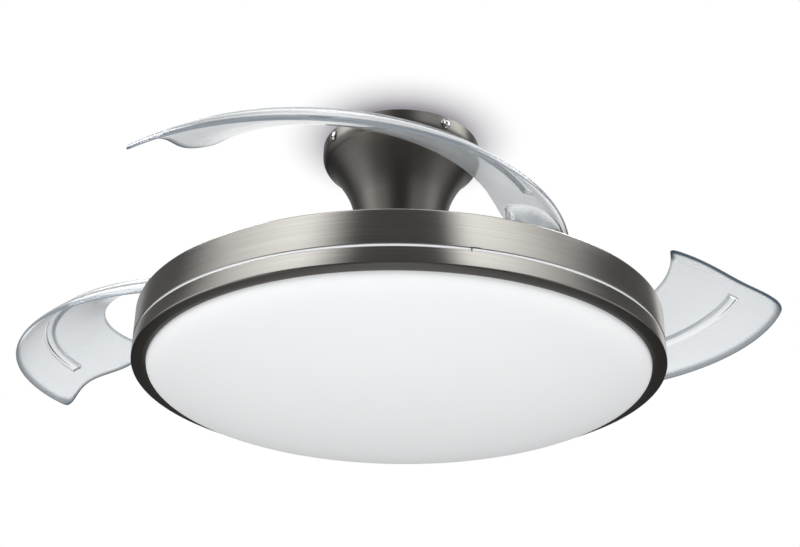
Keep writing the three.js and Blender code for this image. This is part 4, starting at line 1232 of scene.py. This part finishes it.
def filling_points(form, outline, border, hole, step):
    """Points in a pattern of triangles over the rest of the sheet."""
    points, row = [], 0
    low_x, high_x = min(p.x for p in outline), max(p.x for p in outline)
    y, high_y = min(p.y for p in outline), max(p.y for p in outline)
    while y < high_y:
        x = low_x + (step / 2 if row % 2 else 0.0)
        while x < high_x:
            if border.near(x, y) > 5.4 and math.hypot(x, y) > hole + 5.4 and inside(outline, x, y):
                along, across = form.locate(x, y)
                beyond = not form.rib_start - 2.5 < along < form.rib_stop + 2.5
                if abs(form.from_rib(along, across)) > 8.0 or beyond:
                    points.append(Vector((x, y)))
            x += step
        y += step * 0.87
        row += 1
    return points


def blade_face(form, outline, border, hole, step):
    """Flat points and triangles of one face of the sheet, fine at its borders and along the rib."""
    points, edges = [], []

    def add(line, fixed=False):
        start, count = len(points), len(line)
        points.extend(line)
        if fixed:
            edges.extend((start + k, start + (k + 1) % count) for k in range(count))

    add(outline, True)
    for depth in BORDER_ROWS[1:]:
        add([p for p in inset(outline, depth) if border.near(p.x, p.y) > 0.94 * depth])
    add(circle(hole, HOLE_POINTS), True)
    for depth in BORDER_ROWS[1:]:
        add([p for p in circle(hole + depth, HOLE_POINTS)
             if border.near(p.x, p.y) > BORDER_ROWS[-1] + 0.6])
    add(rib_points(form, border, hole))
    add(filling_points(form, outline, border, hole, step))
    verts, _, faces, _, _, _ = delaunay_2d_cdt(points, edges, [], 1, 1e-5)
    kept = []
    for face in faces:
        x = sum(verts[i].x for i in face) / len(face)
        y = sum(verts[i].y for i in face) / len(face)
        if math.hypot(x, y) > hole * math.cos(math.pi / HOLE_POINTS):
            kept.append(tuple(face))
    return verts, kept


def sheet_height(form, border, hole, side, x, y):
    """Height of one face of the sheet, with its border and the edge of its hole rounded."""
    edge_round, hole_round = 1.6, 1.4
    along, across = form.locate(x, y)
    far = border.near(x, y)
    ease = 1.0 if far >= edge_round else math.sqrt(max(0.0, 1 - (1 - far / edge_round) ** 2))
    z = form.middle(along, across) + form.rib(along, across) + side * form.thick(across) * ease
    depth = math.hypot(x, y) - hole
    if depth < hole_round:
        z -= hole_round - math.sqrt(max(0.0, hole_round ** 2 - (hole_round - max(depth, 0.0)) ** 2))
    return z


def open_rings(triangles):
    """The borders of a net of triangles, each as a closed row of points."""
    used = dict.fromkeys(edge for t in triangles for edge in zip(t, t[1:] + t[:1]))
    ahead = {a: b for a, b in used if (b, a) not in used}
    rings = []
    while ahead:
        first = next(iter(ahead))
        ring, here = [first], ahead.pop(first)
        while here != first:
            ring.append(here)
            here = ahead.pop(here)
        rings.append(ring)
    return rings


def riser_rows(form):
    """Radius and height of each row from the riser's foot, through its pocket and round the pad."""
    foot, bore = RISER_FOOT, form.bore
    return ((form.riser - 0.2, foot + 0.15), (form.riser - 0.6, foot), (bore + 0.6, foot),
            (bore + 0.2, foot + 0.15), (bore, foot + 0.6), (bore, PAD_LOW - 0.6),
            (bore - 0.15, PAD_LOW - 0.15), (bore - 0.6, PAD_LOW), (PAD_HOLE + 0.7, PAD_LOW),
            (PAD_HOLE + 0.1, PAD_LOW + 0.2), (PAD_HOLE, PAD_LOW + 0.8), (PAD_HOLE, PAD_HIGH - 0.8),
            (PAD_HOLE + 0.1, PAD_HIGH - 0.2), (PAD_HOLE + 0.7, PAD_HIGH), (bore - 1.2, PAD_HIGH),
            (bore - 0.35, PAD_HIGH + 0.35), (bore, PAD_HIGH + 1.2))


def blade_mesh(form, step):
    """One blade as a closed body: sheet, riser with its open pocket, and the pad on the pivot.

    Returns its points and faces, and the marks of all points under their names.
    """
    outline = form.outline()
    border = Border(outline)
    verts, faces, marks, rings = [], [], [], {}
    for side, hole in ((1, form.bore), (-1, form.riser)):
        flat, triangles = blade_face(form, outline, border, hole, step)
        base = len(verts)
        for p in flat:
            verts.append((p.x, p.y, sheet_height(form, border, hole, side, p.x, p.y)))
            marks.append(form.marks(*form.locate(p.x, p.y), border.near(p.x, p.y)))
        faces += [tuple(base + i for i in (t if side > 0 else t[::-1])) for t in triangles]
        for ring in open_rings(triangles):
            reach = sum(math.hypot(flat[i].x, flat[i].y) for i in ring) / len(ring)
            kind = "hole" if abs(reach - hole) < 0.6 else "rim"
            rings[side, kind] = [base + i for i in ring]
    join_rings(verts, faces, rings[1, "rim"], rings[-1, "rim"])

    wall = rings[-1, "hole"]
    spin = [math.atan2(verts[i][1], verts[i][0]) for i in wall]
    tops = [verts[i][2] for i in wall]
    rows = [[(form.riser, z - share * (z - (RISER_FOOT + 0.6))) for z in tops]
            for share in (0.25, 0.55, 0.8, 1.0)]
    rows += [[row] * len(wall) for row in riser_rows(form)]
    previous = wall
    for row in rows:
        previous = next_ring(verts, faces, previous, [
            (radius * math.cos(a), radius * math.sin(a), z) for a, (radius, z) in zip(spin, row)])
        outside = row[0][0] == form.riser or row[0][1] < RISER_FOOT + 0.5
        # Painted shade on the riser: 0.55 on its outer wall and foot, 0.1 on the pocket and pad, and
        # no rib marks.
        marks += [(0.55 if outside else 0.1, -2.0, -2.0)] * len(previous)
    join_rings(verts, faces, previous, rings[1, "hole"])
    return verts, faces, dict(zip(("rim", "rib_across", "rib_along"), zip(*marks)))


def next_ring(verts, faces, previous, places):
    """Adds a row of points and the faces from the previous row to it."""
    start = len(verts)
    verts.extend(places)
    ring = list(range(start, len(verts)))
    count = len(ring)
    for k in range(count):
        n = (k + 1) % count
        faces.append((previous[k], previous[n], ring[n], ring[k]))
    return ring


def join_rings(verts, faces, first, second):
    """Faces between two closed rows of points that run round the same line."""
    here = verts[first[0]][:2]
    start = min(range(len(second)), key=lambda k: math.dist(verts[second[k]][:2], here))
    second = second[start:] + second[:start]
    ahead = verts[first[3]][:2]
    if math.dist(verts[second[3]][:2], ahead) > math.dist(verts[second[-3]][:2], ahead):
        second = [second[0]] + second[:0:-1]
    if len(first) != len(second):
        raise RuntimeError("two borders of a blade have different numbers of points")
    count = len(first)
    for k in range(count):
        n = (k + 1) % count
        faces.append((first[k], first[n], second[n], second[k]))


class FAN_OT_blades(bpy.types.Operator):
    """Adds the three clear blades with their ribs, risers and pockets"""
    bl_idname = "fan.blades"
    bl_label = "Clear Blades"

    def execute(self, context):
        b = context.scene.fan_blade
        verts, faces, marks = blade_mesh(BladeForm(b), b.step / MM)
        for i, (body, azimuth, opening) in enumerate(BLADES):
            mesh = bpy.data.meshes.new(f"clear_blade_{i + 1}")
            mesh.from_pydata([tuple(v * MM for v in p) for p in verts], [], faces)
            for mark, values in marks.items():
                mesh.attributes.new(mark, "FLOAT", "POINT").data.foreach_set("value", values)
            obj = bpy.data.objects.new(mesh.name, mesh)
            context.scene.collection.objects.link(obj)
            fix_normals(mesh, merge=False)
            smooth(mesh, 50)
            opened = Matrix.Rotation(math.radians(opening), 4, "Z")
            moved(obj, station(azimuth, b.pivot_reach) @ opened)
            obj.visible_glossy = False
            dress(obj, finish("clear"), body, "clear", f"blade_{i + 1}")
        return {"FINISHED"}


# ---------------------------------------------------------------- motor, springs, inner pieces

def wire_tube(line, radius, sides):
    """A closed tube of round wire along a row of points, without twist."""
    verts, faces = [], []
    ahead = (line[1] - line[0]).normalized()
    across = ahead.orthogonal().normalized()
    for i, p in enumerate(line):
        here = (line[min(i + 1, len(line) - 1)] - line[max(i - 1, 0)]).normalized()
        across = (across - here * across.dot(here)).normalized()
        up = here.cross(across)
        verts += [p + (across * math.cos(TAU * k / sides) + up * math.sin(TAU * k / sides)) * radius
                  for k in range(sides)]
        if i:
            low, high = (i - 1) * sides, i * sides
            faces += [(low + k, low + (k + 1) % sides, high + (k + 1) % sides, high + k)
                      for k in range(sides)]
    faces += [tuple(range(sides))[::-1], tuple(range(len(verts) - sides, len(verts)))]
    return verts, faces


class FAN_OT_motor(bpy.types.Operator):
    """Adds the motor's two shells, with rounded shoulders and holes for the carrier's screws"""
    bl_idname = "fan.motor"
    bl_label = "Motor Shells"

    def execute(self, context):
        m = context.scene.fan_motor
        r, wall, split, bottom = m.radius / MM, m.wall / MM, m.split / MM, m.bottom / MM
        seat, seat_depth = m.seat / MM, m.seat_depth / MM

        def shell(name, hole, end, side, shoulder, inner_shoulder):
            """A shell from its end, at side 1 above or -1 below, to its rim at the split."""
            deck = end - side * wall
            brim = deck - side * seat_depth
            return lathe(name, [
                (hole, end, 0.4), (r, end, shoulder), (r, split + side * 0.5, 0.25),
                (r - 0.4, split, 0), (r - wall, split, 0.2), (r - wall, deck, inner_shoulder),
                (seat + 3.0, deck, 1.0), (seat + 3.0, brim, 0.5), (seat, brim, 0.3),
                (seat, deck, 0), (hole, deck, 0.3)], 160, 6, 30.0)

        upper = shell("motor_shell_upper", m.shaft_hole / MM, m.top / MM, 1, 5.0, 3.2)
        dress(upper, finish("dark_nickel"), "rotor", "dark_nickel", "rotor_upper")
        lower = shell("motor_shell_lower", m.lip / MM, bottom, -1, 2.4, 1.6)
        carve(lower, [moved(drill(2.2, bottom - 5, bottom + 8),
                            station(azimuth + 60, m.screw_reach)) for _, azimuth, _ in BLADES], 30.0)
        dress(lower, finish("dark_nickel"), "rotor", "dark_nickel", "rotor_lower")
        return {"FINISHED"}


class FAN_OT_springs(bpy.types.Operator):
    """Adds the return springs: round wire in a rising helix, with a straight foot at each end"""
    bl_idname = "fan.springs"
    bl_label = "Return Springs"

    def execute(self, context):
        w = context.scene.fan_spring
        pivot_reach = context.scene.fan_blade.pivot_reach
        reach, foot, head = w.reach / MM, w.foot / MM, w.head / MM
        rise = w.curls * w.pitch / MM
        start = (foot + head - rise) / 2
        steps, bend = w.curls * 64, 1.1
        line = [Vector((reach, 0, foot)), Vector((reach, 0, start - bend))]
        for i in range(2, steps - 1):
            a = TAU * w.curls * i / steps
            z = start + rise * i / steps
            line.append(Vector((reach * math.cos(a), reach * math.sin(a), z)))
        line += [Vector((reach, 0, start + rise + bend)), Vector((reach, 0, head))]
        verts, faces = wire_tube(line, w.wire / MM / 2, 16)
        for i, (_, azimuth, _) in enumerate(BLADES):
            obj = add_mesh(f"spring_{i + 1}", [v * MM for v in verts], faces, 60.0)
            moved(obj, station(azimuth, pivot_reach))
            dress(obj, finish("spring"), "rotor", "spring", f"return_spring_{i + 1}")
        return {"FINISHED"}


class FAN_OT_kept(bpy.types.Operator):
    """Gives the finishes to the inner pieces, whose solids are shown as they are"""
    bl_idname = "fan.kept"
    bl_label = "Inner Pieces"

    def execute(self, context):
        for look, nodes in CARRIED.items():
            for node in nodes:
                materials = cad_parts[node].data.materials
                materials.clear()
                materials.append(finish(look))
        return {"FINISHED"}


# ---------------------------------------------------------------- the add-on's frame

class FAN_PT_panel(bpy.types.Panel):
    """Lists the fan's pieces and sizes"""
    bl_idname = "FAN_PT_panel"
    bl_label = "Folding Blade Fan"
    bl_space_type = "VIEW_3D"
    bl_region_type = "UI"
    bl_category = "Fan"

    def draw(self, context):
        layout = self.layout
        for step in STEPS:
            layout.operator(step.bl_idname)
        for name, group in GROUPS.items():
            box = layout.box()
            box.label(text=group.__doc__)
            for prop in group.__annotations__:
                box.prop(getattr(context.scene, name), prop)


GROUPS = {
    "fan_drum": FanDrumSettings,
    "fan_canopy": FanCanopySettings,
    "fan_blade": FanBladeSettings,
    "fan_motor": FanMotorSettings,
    "fan_spring": FanSpringSettings,
    "fan_finish": FanFinishSettings,
    "fan_stage": FanStageSettings,
}
STEPS = (FAN_OT_stage, FAN_OT_canopy, FAN_OT_canopy_screws, FAN_OT_drum, FAN_OT_diffuser,
         FAN_OT_blades, FAN_OT_motor, FAN_OT_springs, FAN_OT_kept)


def register():
    for group in (*GROUPS.values(), *STEPS, FAN_PT_panel):
        bpy.utils.register_class(group)
    for name, group in GROUPS.items():
        setattr(bpy.types.Scene, name, bpy.props.PointerProperty(type=group))


def unregister():
    for name in GROUPS:
        delattr(bpy.types.Scene, name)
    for group in reversed((*GROUPS.values(), *STEPS, FAN_PT_panel)):
        bpy.utils.unregister_class(group)


def main():
    register()
    for step in STEPS:
        family, action = step.bl_idname.split(".")
        getattr(getattr(bpy.ops, family), action)()
    bpy.context.view_layer.update()


if __name__ == "__main__":
    main()
